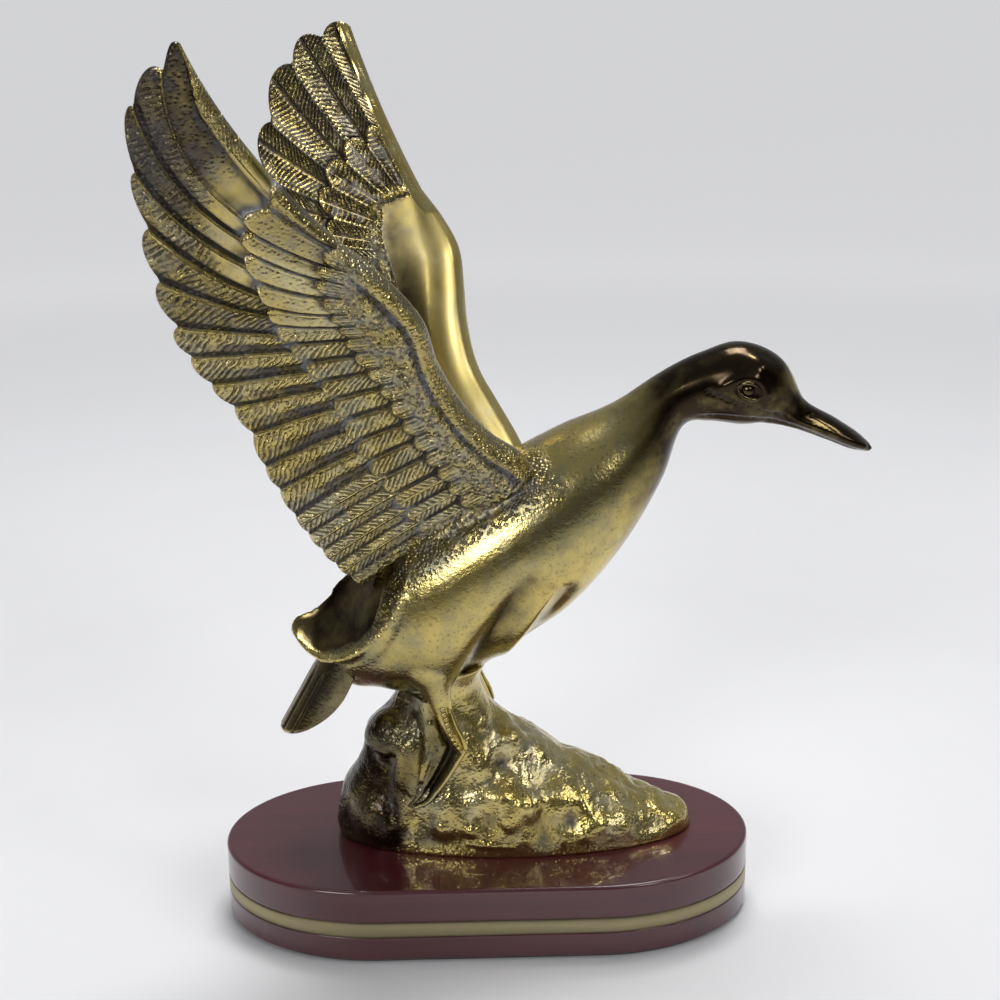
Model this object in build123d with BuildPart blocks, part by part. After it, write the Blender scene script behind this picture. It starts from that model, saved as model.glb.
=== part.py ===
import os
from collections import namedtuple
from math import cos, radians, sin

from build123d import *

os.makedirs("parts", exist_ok=True)

# Frame: origin at the centre of the felt underside, +X to the bill, +Z up, lengths in mm.

# Plinth: two boards with rounded ends, a brass band let into the lower one
plinth_length = 115.5
plinth_depth = 53.3
end_run = 34.25
felt_thickness = 1.0
felt_inset = 1.6
lower_board_height = 8.9
upper_board_height = 7.4
band_height = 3.5
band_depth = 2.0
band_clearance = 0.05
top_edge_radius = 0.8
foot_edge_radius = 0.5

# Screws that hold the rock to the plinth
screw_diameter = 4.0
screw_length = 20.0
screw_head_diameter = 8.0
screw_head_height = 2.6
screw_slot_width = 1.0
screw_slot_depth = 1.1
screw_front_x = 16.0
screw_rear_x = -14.0
screw_hole_clearance = 0.2
thread_clearance = 0.03
washer_diameter = 9.0
washer_thickness = 0.8
counterbore_diameter = 10.0
counterbore_depth = 5.0
tapped_depth_reserve = 1.5

# Heights of the stack
lower_board_bottom = felt_thickness
plinth_joint = lower_board_bottom + lower_board_height
plinth_top = plinth_joint + upper_board_height
washer_seat = lower_board_bottom + counterbore_depth
screw_seat = washer_seat - washer_thickness
straight_run = plinth_length - 2 * end_run

# Rock: ellipses stacked from the plinth up to the flat seat under the belly
rock_height = 36.7
Ring = namedtuple("Ring", "rise x y half_length half_depth")
rock_foot = Ring(0.0, 6.2, 1.2, 39.3, 15.0)
rock_skirt = Ring(4.7, 5.1, 1.2, 37.9, 14.8)
rock_slope = Ring(11.7, -0.7, 1.2, 30.8, 13.6)
rock_shoulder = Ring(19.7, -5.5, 1.0, 21.4, 12.2)
rock_lobe = Ring(25.7, -9.5, 1.0, 16.2, 10.8)
rock_neck = Ring(31.2, -9.7, 0.8, 10.8, 9.3)
rock_top = Ring(rock_height, -9.5, 0.5, 8.5, 8.4)
rock_rings = [rock_foot, rock_skirt, rock_slope, rock_shoulder, rock_lobe, rock_neck, rock_top]
Boulder = namedtuple("Boulder", "x y rise radius")
boulders = [
    Boulder(-19.4, -3.5, 25.0, 6.5),
    Boulder(-22.0, -3.0, 6.5, 9.5),
    Boulder(6.0, -5.5, 9.5, 8.6),
    Boulder(21.0, -4.0, 4.0, 9.0),
    Boulder(-2.0, 5.0, 12.0, 9.8),
    Boulder(30.0, 4.5, 2.0, 9.0),
]
seat_z = plinth_top + rock_height
seat_radius = 8.6
peg_radius = 2.5
peg_length = 6.0
peg_gap = 0.1

# Body: ellipses along the spine, up from the seat; tilt is the climb of the spine in degrees
Station = namedtuple("Station", "x rise tilt half_height half_width")
vent = Station(-33.5, 10.6, 8, 4.6, 5.0)
rump_end = Station(-31.2, 11.2, 10, 9.0, 9.0)
rump = Station(-25.5, 12.6, 15, 13.9, 12.6)
loin = Station(-15.0, 15.4, 20, 17.6, 16.2)
belly = Station(-2.0, 24.2, 22, 18.0, 17.4)
chest = Station(12.5, 34.2, 24, 17.2, 16.8)
breast = Station(23.5, 43.7, 29, 14.0, 14.2)
neck_base = Station(33.0, 53.0, 33, 9.3, 9.6)
neck = Station(40.3, 61.9, 26, 5.9, 6.3)
nape = Station(46.5, 64.0, 6, 7.2, 6.6)
crown = Station(54.0, 64.6, 0, 8.6, 7.6)
brow = Station(61.0, 62.8, -14, 6.6, 6.2)
lore = Station(65.0, 59.4, -25, 3.4, 4.0)
trunk_stations = [
    vent, rump_end, rump, loin, belly, chest, breast, neck_base, neck, nape, crown, brow, lore,
]
bill_stations = [
    Station(61.5, 59.6, -25, 3.4, 4.0),
    Station(66.4, 57.4, -28, 2.9, 4.2),
    Station(73.0, 54.4, -30, 2.4, 4.3),
    Station(78.6, 51.4, -34, 1.6, 3.6),
    Station(81.4, 50.0, -36, 0.7, 1.8),
]
tail_stations = [
    Station(-15.5, 23.0, 40, 9.0, 14.4),
    Station(-25.0, 17.4, 36, 7.8, 13.0),
    Station(-31.5, 13.8, 20, 5.0, 11.2),
    Station(-36.3, 12.5, -4, 3.2, 8.6),
    Station(-40.4, 14.0, -26, 1.0, 4.2),
]
eye_x = 54.4
eye_rise = 64.8
eye_radius = 1.6
eye_sink = 0.7

# Thighs: ellipses on level planes, from inside the belly to the knee
Thigh = namedtuple("Thigh", "rise x y half_length half_width")
thigh_stations = [
    Thigh(14.0, -5.7, 8.8, 9.0, 6.4),
    Thigh(4.0, -2.7, 10.0, 6.8, 5.0),
    Thigh(-3.5, 0.0, 9.9, 3.2, 3.0),
]
knee = thigh_stations[-1]
right_knee_x = -9.3
left_knee_x = -3.3

# Legs: shank from the knee to the ankle, webbed foot down the rock
shank_top_radius = 2.5
shank_mid_radius = 2.1
ankle_radius = 1.9
ankle_step = 4.4
ankle_out = 1.9
ankle_rise = 24.6
leg_peg_radius = 1.2
leg_peg_length = 4.0
foot_length = 17.0
foot_width = 11.0
foot_thickness = 2.2
foot_heel_width = 3.2
foot_slope = 50
toe_setback = 1.6
web_hollow = 1.1
right_toe_out = 0.4
left_toe_out = 3.0

# Lower tail: a roof-shaped blade under the rump
fan_root_x = -30.1
fan_root_rise = 1.4
fan_fall = 62
fan_length = 17.6
fan_root_radius = 7.0
fan_tip_radius = 7.5
fan_thickness = 1.8
fan_half_arc = 86
fan_bury = 6.0

# Wings: one shape in its own plane, x toward the trailing edge, y toward the tip
Arm = namedtuple("Arm", "lead span half_chord half_thickness")
arm_stations = [
    Arm(-0.6, -6.0, 6.4, 4.8),
    Arm(1.0, 12.0, 5.0, 4.2),
    Arm(1.0, 26.0, 4.2, 3.6),
    Arm(-0.2, 42.0, 3.5, 3.0),
    Arm(2.0, 58.0, 2.8, 2.4),
    Arm(5.6, 76.0, 1.9, 1.7),
    Arm(7.0, 92.0, 1.3, 1.3),
]
flight_thickness = 2.0
greater_thickness = 3.2
lesser_thickness = 4.4
secondary_count = 11
greater_hand_count = 5
greater_arm_count = 9
lesser_hand_count = 4
lesser_arm_count = 8
leading_half_width = 3.6
second_half_width = 4.4
primary_half_width = 5.3
secondary_half_width = 3.7
greater_half_width = 3.6
lesser_half_width = 3.2
feather_root_half_width = 2.6
feather_tip_ratio = 1.5
groove_width = 0.5
groove_depth = 0.4
quill_width = 0.6
quill_height = 0.3
quill_reach = 0.88
primary_tips = [
    Vector(6.2, 106.6), Vector(12.2, 106.2), Vector(20.5, 100.8), Vector(26.4, 91.9),
    Vector(32.2, 81.4), Vector(35.5, 72.3), Vector(37.9, 63.4),
]
primary_roots = Line((9.0, 66.0), (5.5, 44.0))
secondary_tips = Line((39.0, 55.0), (43.0, -3.0))
secondary_roots = Line((5.0, 44.0), (5.0, -5.0))
greater_hand_tips = ThreePointArc((10.5, 77.0), (18.5, 63.0), (20.2, 47.0))
greater_arm_tips = Line((20.5, 43.0), (24.5, -2.0))
lesser_hand_tips = ThreePointArc((6.4, 60.0), (9.0, 51.0), (10.4, 43.0))
lesser_arm_tips = Line((11.0, 40.0), (15.0, -2.0))
tenon_radius = 3.0
tenon_chord = 8.5
tenon_start = 3.0
tenon_depth = 12.0

right_shoulder = (8.0, -9.5, 53.0)
right_sweep = 32
right_dihedral = 16.5
left_shoulder = (9.0, 9.5, 48.0)
left_sweep = 17
left_dihedral = 22.5


def board_outline(inset):
    """Plan of the plinth: a straight middle and half-elliptic ends, drawn in by the inset."""
    with BuildSketch() as outline:
        Rectangle(straight_run, plinth_depth - 2 * inset)
        with Locations((-straight_run / 2, 0), (straight_run / 2, 0)):
            Ellipse(end_run - inset, plinth_depth / 2 - inset)
    return outline.sketch


def station_plane(station):
    """Plane across the spine at a station, its x to the bird's left."""
    climb = radians(station.tilt)
    return Plane(
        origin=(station.x, 0, seat_z + station.rise),
        x_dir=(0, 1, 0),
        z_dir=(cos(climb), 0, sin(climb)),
    )


def wing_plane(shoulder, sweep, dihedral, side):
    """Plane of a wing: x falls back along the root, y rises out to the tip."""
    back = Vector(-cos(radians(sweep)), 0, -sin(radians(sweep)))
    upright = Vector(-sin(radians(sweep)), 0, cos(radians(sweep)))
    span = upright * cos(radians(dihedral)) + Vector(0, side, 0) * sin(radians(dihedral))
    x, y, rise = shoulder
    return Plane(origin=(x, y, seat_z + rise), x_dir=back, z_dir=back.cross(span))


def feather_run(roots, tips, count):
    """Pairs of root and tip points, spread evenly along two curves."""
    return [(roots @ (i / (count - 1)), tips @ (i / (count - 1))) for i in range(count)]


def feather_outline(root, tip, half_width):
    """One feather: narrow at the root, widest near the end, with a round tip."""
    axis = tip - root
    length = axis.length
    with BuildSketch(Plane(origin=root, x_dir=axis, z_dir=(0, 0, 1))) as vane:
        with BuildLine():
            shoulder_at = length - feather_tip_ratio * half_width
            Polyline((shoulder_at, half_width), (0, feather_root_half_width),
                     (0, -feather_root_half_width), (shoulder_at, -half_width))
            ThreePointArc((shoulder_at, -half_width), (length, 0), (shoulder_at, half_width))
        make_face()
    return vane.sketch


def between(run):
    """Lines along which neighbouring feathers of a run meet."""
    return [((r0 + r1) * 0.5, (t0 + t1) * 0.5) for (r0, t0), (r1, t1) in zip(run, run[1:])]


def strip(start, end, width):
    """Thin straight strip from one point to another."""
    axis = end - start
    with BuildSketch(Plane(origin=start, x_dir=axis, z_dir=(0, 0, 1))) as line:
        Rectangle(axis.length, width, align=(Align.MIN, Align.CENTER))
    return line.sketch


def arm_plane(arm):
    """Plane across the arm of a wing."""
    return Plane(origin=(arm.lead + arm.half_chord, arm.span, 0), x_dir=(1, 0, 0), z_dir=(0, 1, 0))


primary_count = len(primary_tips)
primaries = [(primary_roots @ (i / (primary_count - 1)), tip) for i, tip in enumerate(primary_tips)]
secondaries = feather_run(secondary_roots, secondary_tips, secondary_count)
greater_run = feather_run(primary_roots, greater_hand_tips, greater_hand_count)
greater_run += feather_run(secondary_roots, greater_arm_tips, greater_arm_count)
lesser_run = feather_run(primary_roots, lesser_hand_tips, lesser_hand_count)
lesser_run += feather_run(secondary_roots, lesser_arm_tips, lesser_arm_count)
primary_half_widths = [leading_half_width, second_half_width]
primary_half_widths += [primary_half_width] * (primary_count - 2)

flight_vanes = [feather_outline(*run, half) for run, half in zip(primaries, primary_half_widths)]
flight_vanes += [feather_outline(*run, secondary_half_width) for run in secondaries]
flight_grooves = [strip(*line, groove_width) for line in between(primaries + secondaries)]
quill_lines = [(root, root + (tip - root) * quill_reach) for root, tip in primaries + secondaries]
flight_quills = [strip(*line, quill_width) for line in quill_lines]
greater_vanes = [feather_outline(*run, greater_half_width) for run in greater_run]
greater_grooves = [strip(*line, groove_width) for line in between(greater_run)]
lesser_vanes = [feather_outline(*run, lesser_half_width) for run in lesser_run]

with BuildPart() as wing_form:
    with BuildSketch():
        add(flight_vanes)
    extrude(amount=flight_thickness / 2, both=True)
    for face in (-1, 1):
        with BuildSketch(Plane.XY.offset(face * flight_thickness / 2)):
            add(flight_grooves)
        extrude(amount=-face * groove_depth, mode=Mode.SUBTRACT)
    with BuildSketch():
        add(flight_quills)
    extrude(amount=flight_thickness / 2 + quill_height, both=True)
    with BuildSketch():
        add(greater_vanes)
    extrude(amount=greater_thickness / 2, both=True)
    for face in (-1, 1):
        with BuildSketch(Plane.XY.offset(face * greater_thickness / 2)):
            add(greater_grooves)
        extrude(amount=-face * groove_depth, mode=Mode.SUBTRACT)
    with BuildSketch():
        add(lesser_vanes)
    extrude(amount=lesser_thickness / 2, both=True)
    for arm in arm_stations:
        with BuildSketch(arm_plane(arm)):
            Ellipse(arm.half_chord, arm.half_thickness)
    loft()
    with BuildSketch(Plane(origin=(tenon_chord, tenon_start, 0), x_dir=(1, 0, 0), z_dir=(0, -1, 0))):
        Circle(tenon_radius)
    extrude(amount=tenon_start + tenon_depth)

plinth_plan = board_outline(0)
felt_plan = board_outline(felt_inset)
rebate_plan = board_outline(band_depth)
band_bore_plan = board_outline(band_depth - band_clearance)

with BuildPart() as felt_pad:
    with BuildSketch():
        add(felt_plan)
    extrude(amount=felt_thickness)
felt_pad.part.label = "felt_pad"
export_step(felt_pad.part, "parts/felt_pad.step")

with BuildPart() as plinth_lower:
    with BuildSketch(Plane.XY.offset(lower_board_bottom)):
        add(plinth_plan)
    extrude(amount=lower_board_height - band_height)
    with BuildSketch(Plane.XY.offset(plinth_joint - band_height)):
        add(rebate_plan)
    extrude(amount=band_height)
    fillet(plinth_lower.faces().sort_by(Axis.Z)[0].edges(), foot_edge_radius)
    with BuildSketch(Plane.XY.offset(lower_board_bottom)):
        with Locations((screw_rear_x, 0), (screw_front_x, 0)):
            Circle(screw_diameter / 2 + screw_hole_clearance)
    extrude(amount=lower_board_height, mode=Mode.SUBTRACT)
    with BuildSketch(Plane.XY.offset(lower_board_bottom)):
        with Locations((screw_rear_x, 0), (screw_front_x, 0)):
            Circle(counterbore_diameter / 2)
    extrude(amount=counterbore_depth, mode=Mode.SUBTRACT)
plinth_lower.part.label = "plinth_lower"
export_step(plinth_lower.part, "parts/plinth_lower.step")

with BuildPart() as inlay_band:
    with BuildSketch(Plane.XY.offset(plinth_joint - band_height)):
        add(plinth_plan)
        add(band_bore_plan, mode=Mode.SUBTRACT)
    extrude(amount=band_height)
inlay_band.part.label = "inlay_band"
export_step(inlay_band.part, "parts/inlay_band.step")

with BuildPart() as plinth_upper:
    with BuildSketch(Plane.XY.offset(plinth_joint)):
        add(plinth_plan)
    extrude(amount=upper_board_height)
    fillet(plinth_upper.faces().sort_by(Axis.Z)[-1].edges(), top_edge_radius)
    with BuildSketch(Plane.XY.offset(plinth_joint)):
        with Locations((screw_rear_x, 0), (screw_front_x, 0)):
            Circle(screw_diameter / 2 + screw_hole_clearance)
    extrude(amount=upper_board_height, mode=Mode.SUBTRACT)
plinth_upper.part.label = "plinth_upper"
export_step(plinth_upper.part, "parts/plinth_upper.step")

with BuildPart() as screw_washers:
    with BuildSketch(Plane.XY.offset(screw_seat)):
        with Locations((screw_rear_x, 0), (screw_front_x, 0)):
            Circle(washer_diameter / 2)
            Circle(screw_diameter / 2 + screw_hole_clearance, mode=Mode.SUBTRACT)
    extrude(amount=washer_thickness)
screw_washers.part.label = "screw_washers"
export_step(screw_washers.part, "parts/screw_washers.step")

with BuildPart() as mounting_screws:
    with BuildSketch(Plane.XY.offset(screw_seat)):
        with Locations((screw_rear_x, 0), (screw_front_x, 0)):
            Circle(screw_head_diameter / 2)
    extrude(amount=-screw_head_height)
    with BuildSketch(Plane.XY.offset(screw_seat)):
        with Locations((screw_rear_x, 0), (screw_front_x, 0)):
            Circle(screw_diameter / 2)
    extrude(amount=screw_length)
    with BuildSketch(Plane.XY.offset(screw_seat - screw_head_height)):
        with Locations((screw_rear_x, 0), (screw_front_x, 0)):
            Rectangle(screw_head_diameter, screw_slot_width)
    extrude(amount=screw_slot_depth, mode=Mode.SUBTRACT)
mounting_screws.part.label = "mounting_screws"
export_step(mounting_screws.part, "parts/mounting_screws.step")

right_wing_plane = wing_plane(right_shoulder, right_sweep, right_dihedral, -1)
left_wing_plane = wing_plane(left_shoulder, left_sweep, left_dihedral, 1)


def socket_plane(plane):
    """Plane at the mouth of a wing socket, looking into the body."""
    mouth = plane.from_local_coords(Vector(tenon_chord, tenon_start, 0))
    return Plane(origin=mouth, x_dir=plane.x_dir, z_dir=-plane.y_dir)


with BuildPart() as body_casting:
    for station in trunk_stations:
        with BuildSketch(station_plane(station)):
            Ellipse(station.half_width, station.half_height)
    loft()
    for station in bill_stations:
        with BuildSketch(station_plane(station)):
            Ellipse(station.half_width, station.half_height)
    loft()
    for station in tail_stations:
        with BuildSketch(station_plane(station)):
            Ellipse(station.half_width, station.half_height)
    loft()
    for knee_x, side in ((right_knee_x, -1), (left_knee_x, 1)):
        for thigh in thigh_stations:
            with BuildSketch(Plane.XY.offset(seat_z + thigh.rise)):
                with Locations((knee_x + thigh.x, side * thigh.y)):
                    Ellipse(thigh.half_length, thigh.half_width)
        loft()
    for side in (-1, 1):
        with Locations((eye_x, side * (crown.half_width - eye_sink), seat_z + eye_rise)):
            Sphere(eye_radius)
    with BuildSketch(Plane.XY.offset(seat_z)):
        with Locations((rock_top.x, rock_top.y)):
            Circle(seat_radius)
    extrude(amount=-seat_radius, mode=Mode.SUBTRACT)
    with BuildSketch(Plane.XY.offset(seat_z)):
        with Locations((rock_top.x, rock_top.y)):
            Circle(peg_radius + peg_gap)
    extrude(amount=peg_length + peg_gap, mode=Mode.SUBTRACT)
    with BuildSketch(Plane.XY.offset(seat_z + knee.rise)):
        with Locations((right_knee_x + knee.x, -knee.y), (left_knee_x + knee.x, knee.y)):
            Circle(leg_peg_radius + peg_gap)
    extrude(amount=leg_peg_length + peg_gap, mode=Mode.SUBTRACT)
    for plane in (right_wing_plane, left_wing_plane):
        with BuildSketch(socket_plane(plane)):
            Circle(tenon_radius + peg_gap)
        extrude(amount=tenon_start + tenon_depth + peg_gap, mode=Mode.SUBTRACT)
body_casting.part.label = "body_casting"
export_step(body_casting.part, "parts/body_casting.step")

with BuildPart() as wing_right:
    with Locations(right_wing_plane):
        add(wing_form.part)
    add(body_casting.part, mode=Mode.SUBTRACT)
wing_right.part.label = "wing_right"
export_step(wing_right.part, "parts/wing_right.step")

with BuildPart() as wing_left:
    with Locations(left_wing_plane):
        add(wing_form.part)
    add(body_casting.part, mode=Mode.SUBTRACT)
wing_left.part.label = "wing_left"
export_step(wing_left.part, "parts/wing_left.step")

fan_axis = Vector(-cos(radians(fan_fall)), 0, -sin(radians(fan_fall)))
fan_root = Vector(fan_root_x, 0, seat_z + fan_root_rise)


def fan_plane(along):
    """Plane across the lower tail at a distance from its root, its y to the ridge."""
    return Plane(origin=fan_root + fan_axis * along, x_dir=(0, 1, 0), z_dir=fan_axis)


with BuildPart() as tail_fan:
    for along, radius in ((-fan_bury, fan_root_radius), (fan_length, fan_tip_radius)):
        with BuildSketch(fan_plane(along)):
            with BuildLine():
                CenterArc((0, 0), radius, 270 - fan_half_arc, 2 * fan_half_arc)
                CenterArc((0, 0), radius - fan_thickness, 270 - fan_half_arc, 2 * fan_half_arc)
                Line((radius * sin(radians(-fan_half_arc)), -radius * cos(radians(fan_half_arc))),
                     ((radius - fan_thickness) * sin(radians(-fan_half_arc)),
                      -(radius - fan_thickness) * cos(radians(fan_half_arc))))
                Line((radius * sin(radians(fan_half_arc)), -radius * cos(radians(fan_half_arc))),
                     ((radius - fan_thickness) * sin(radians(fan_half_arc)),
                      -(radius - fan_thickness) * cos(radians(fan_half_arc))))
            make_face()
    loft(ruled=True)
    add(body_casting.part, mode=Mode.SUBTRACT)
tail_fan.part.label = "tail_fan"
export_step(tail_fan.part, "parts/tail_fan.step")


def leg_points(knee_x, side, toe_out):
    """Knee, ankle and toe of one leg."""
    knee_point = Vector(knee_x + knee.x, side * knee.y, seat_z + knee.rise)
    ankle = Vector(knee_x + ankle_step, side * (knee.y + ankle_out), plinth_top + ankle_rise)
    slope = radians(foot_slope)
    reach = Vector(-cos(slope) * foot_length, side * toe_out, -sin(slope) * foot_length)
    return knee_point, ankle, ankle + reach


def foot_outline(ankle, toe, side):
    """Webbed foot seen square on: narrow heel, three toes with hollow webs between them."""
    along = toe - ankle
    length = along.length
    across = along.cross(Vector(0, side, 0))
    heel = foot_heel_width / 2
    spread = foot_width / 2
    plane = Plane(origin=ankle, x_dir=along, z_dir=across.cross(along))
    with BuildSketch(plane) as foot:
        with BuildLine():
            side_toe = length - toe_setback
            web = length - toe_setback / 2 - web_hollow
            Polyline((side_toe, spread), (-heel, heel), (-heel, -heel), (side_toe, -spread))
            ThreePointArc((side_toe, -spread), (web, -spread / 2), (length, 0))
            ThreePointArc((length, 0), (web, spread / 2), (side_toe, spread))
        make_face()
    return foot.sketch


right_knee, right_ankle, right_toe = leg_points(right_knee_x, -1, right_toe_out)
right_foot = foot_outline(right_ankle, right_toe, -1)
left_knee, left_ankle, left_toe = leg_points(left_knee_x, 1, left_toe_out)
left_foot = foot_outline(left_ankle, left_toe, 1)
shank_radii = ((0, shank_top_radius), (0.5, shank_mid_radius), (1, ankle_radius))

with BuildPart() as leg_right:
    for share, radius in shank_radii:
        with BuildSketch(Plane(origin=right_knee + (right_ankle - right_knee) * share)):
            Circle(radius)
    loft()
    add(right_foot)
    extrude(amount=foot_thickness / 2, both=True)
    with BuildSketch(Plane(origin=right_knee)):
        Circle(leg_peg_radius)
    extrude(amount=leg_peg_length)
leg_right.part.label = "leg_right"
export_step(leg_right.part, "parts/leg_right.step")

with BuildPart() as leg_left:
    for share, radius in shank_radii:
        with BuildSketch(Plane(origin=left_knee + (left_ankle - left_knee) * share)):
            Circle(radius)
    loft()
    add(left_foot)
    extrude(amount=foot_thickness / 2, both=True)
    with BuildSketch(Plane(origin=left_knee)):
        Circle(leg_peg_radius)
    extrude(amount=leg_peg_length)
leg_left.part.label = "leg_left"
export_step(leg_left.part, "parts/leg_left.step")

with BuildPart() as rock_casting:
    for ring in rock_rings:
        with BuildSketch(Plane.XY.offset(plinth_top + ring.rise)):
            with Locations((ring.x, ring.y)):
                Ellipse(ring.half_length, ring.half_depth)
    loft()
    for boulder in boulders:
        with Locations((boulder.x, boulder.y, plinth_top + boulder.rise)):
            Sphere(boulder.radius)
    split(bisect_by=Plane.XY.offset(plinth_top), keep=Keep.TOP)
    with BuildSketch(Plane.XY.offset(seat_z)):
        with Locations((rock_top.x, rock_top.y)):
            Circle(peg_radius)
    extrude(amount=peg_length)
    with BuildSketch(Plane.XY.offset(plinth_top)):
        with Locations((screw_rear_x, 0), (screw_front_x, 0)):
            Circle(screw_diameter / 2 + thread_clearance)
    extrude(amount=screw_seat + screw_length - plinth_top + tapped_depth_reserve, mode=Mode.SUBTRACT)
    add([leg_right.part, leg_left.part, body_casting.part], mode=Mode.SUBTRACT)
rock_casting.part.label = "rock_casting"
export_step(rock_casting.part, "parts/rock_casting.step")
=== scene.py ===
import itertools
import bpy
import numpy as np
from bpy.props import FloatProperty, FloatVectorProperty, PointerProperty
from mathutils import Matrix


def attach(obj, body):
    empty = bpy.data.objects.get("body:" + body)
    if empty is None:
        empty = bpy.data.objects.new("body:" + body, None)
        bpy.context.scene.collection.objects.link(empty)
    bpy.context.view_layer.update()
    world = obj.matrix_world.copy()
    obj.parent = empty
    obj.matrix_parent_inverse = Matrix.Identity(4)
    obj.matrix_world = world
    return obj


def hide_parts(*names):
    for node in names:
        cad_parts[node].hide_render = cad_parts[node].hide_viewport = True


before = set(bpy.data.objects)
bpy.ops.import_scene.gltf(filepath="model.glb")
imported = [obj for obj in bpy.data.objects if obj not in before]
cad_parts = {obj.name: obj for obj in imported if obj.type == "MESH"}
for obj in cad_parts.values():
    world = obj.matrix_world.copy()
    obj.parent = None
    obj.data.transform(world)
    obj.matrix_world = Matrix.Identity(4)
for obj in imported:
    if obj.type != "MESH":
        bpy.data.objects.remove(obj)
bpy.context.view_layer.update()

bl_info = {
    "name": "Brass duck on a plinth",
    "version": (1, 0, 0),
    "blender": (4, 5, 0),
    "location": "3D View > Sidebar > Brass Duck",
    "description": "Cast brass duck rising from a rock, on a lacquered wooden plinth",
    "category": "Object",
}

# Metres in a millimetre, then heights over the table in millimetres: the body's seat on the rock, the top of
# the plinth, the joint between its two boards and the top of the felt

MM = 0.001
SEAT = 54.0
PLINTH_TOP = 17.3
PLINTH_JOINT = 9.9
FELT_TOP = 1.0

# Plan of the plinth: half length of the straight sides, reach of the round ends, half depth and points round
# an end; then the band in its edge, and the boards' roundings at the foot, beside the band and at the top

PLINTH_STRAIGHT = 23.5
PLINTH_END = 34.25
PLINTH_HALF_DEPTH = 26.65
PLINTH_END_POINTS = 72
BAND_HEIGHT = 3.5
BAND_DEPTH = 2.0
BAND_CHAMFER = 0.12
FOOT_ROUND = 0.5
BAND_ROUND = 0.25
TOP_ROUND = 0.8


# Steps and scale that scatter the sine over the corners of the noise lattice

LATTICE_STEPS = np.array([12.9898, 78.233, 37.719])
LATTICE_SCALE = 43758.5453


# Shapes: lengths in millimetres until a mesh is made

def ramp(x, low, high):
    """Smooth step: 0 below low, 1 above high, a cubic between them."""
    t = np.clip((np.asarray(x, float) - low) / (high - low), 0, 1)
    return t * t * (3 - 2 * t)


def bell(x, width):
    """Bell curve of height 1 and the given half width."""
    return np.exp(-(np.asarray(x, float) / width) ** 2)


def spline(knots, values, at):
    """Cubic curve through values at the knots, its slopes taken from the neighbours, read at the places
    given."""
    knots, values, at = np.asarray(knots, float), np.asarray(values, float), np.asarray(at, float)
    slope = np.gradient(values, knots, axis=0)
    i = np.clip(np.searchsorted(knots, at, side="right") - 1, 0, len(knots) - 2)
    h = knots[i + 1] - knots[i]
    t = (at - knots[i]) / h
    if values.ndim > 1:
        h, t = h[..., None], t[..., None]
    return ((2 * t**3 - 3 * t**2 + 1) * values[i] + (t**3 - 2 * t**2 + t) * h * slope[i]
            + (3 * t**2 - 2 * t**3) * values[i + 1] + (t**3 - t**2) * h * slope[i + 1])


def run_length(points):
    """Distance along a line of points, 0 at the first."""
    points = np.asarray(points, float)
    return np.concatenate([[0], np.cumsum(np.linalg.norm(np.diff(points, axis=0), axis=1))])


def lumps(points, pitch, seed):
    """Value noise: a number per lattice corner from the sine of its place, blended smoothly across each
    cell."""
    cell = points / pitch
    base = np.floor(cell)
    f = cell - base
    f = f * f * (3 - 2 * f)
    total = np.zeros(len(points))
    for corner in itertools.product((0, 1), repeat=3):
        n = base + np.array(corner)
        value = np.sin(n @ LATTICE_STEPS + seed) * LATTICE_SCALE
        weight = np.prod(np.where(np.array(corner) == 1, f, 1 - f), axis=1)
        total += weight * (value - np.floor(value))
    return total * 2 - 1


def grid_quads(rows, columns, closed=False):
    """Quads of a grid of points listed row by row; closed joins the last column to the first."""
    i = np.arange(rows - 1)[:, None]
    j = np.arange(columns if closed else columns - 1)[None, :]
    k = (j + 1) % columns
    here, after = i * columns, (i + 1) * columns
    return np.stack([here + j, here + k, after + k, after + j], -1).reshape(-1, 4)


def outward(points, faces):
    """The faces turned so that the closed shell's volume counts positive."""
    volume = 0.0
    for group in faces:
        for n in range(1, group.shape[1] - 1):
            a, b, c = points[group[:, 0]], points[group[:, n]], points[group[:, n + 1]]
            volume += np.einsum("ij,ij->", a, np.cross(b, c))
    return faces if volume > 0 else [group[:, ::-1] for group in faces]


def capped(rings, poles):
    """Closed shell of rings of points: quads between the rings, and a cap from each end ring to its pole."""
    rows, around = rings.shape[:2]
    points = np.concatenate([rings.reshape(-1, 3), poles])
    j = np.arange(around)
    k = (j + 1) % around
    last = (rows - 1) * around
    first_cap = np.stack([np.full(around, rows * around), k, j], -1)
    last_cap = np.stack([np.full(around, rows * around + 1), last + j, last + k], -1)
    return points, outward(points, [grid_quads(rows, around, True), first_cap, last_cap])


def tube(centres, wide, tall, around):
    """Closed tube: at each centre an ellipse spanned by its wide and tall vectors, ends closed on a pole."""
    angle = np.linspace(0, 2 * np.pi, around, endpoint=False)
    c, s = np.cos(angle), np.sin(angle)
    rings = centres[:, None] + wide[:, None] * c[None, :, None] + tall[:, None] * s[None, :, None]
    return capped(rings, centres[[0, -1]])


def ball(centre, radii, around=40, rows=24):
    """Ellipsoid: a half turn of latitude carried round a full turn of longitude."""
    lat = np.linspace(-np.pi / 2, np.pi / 2, rows + 2)[1:-1, None]
    along_x, along_y, along_z = np.eye(3) * radii
    centres = np.asarray(centre, float) + np.sin(lat) * along_z
    return tube(centres, np.cos(lat) * along_x, np.cos(lat) * along_y, around)


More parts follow.
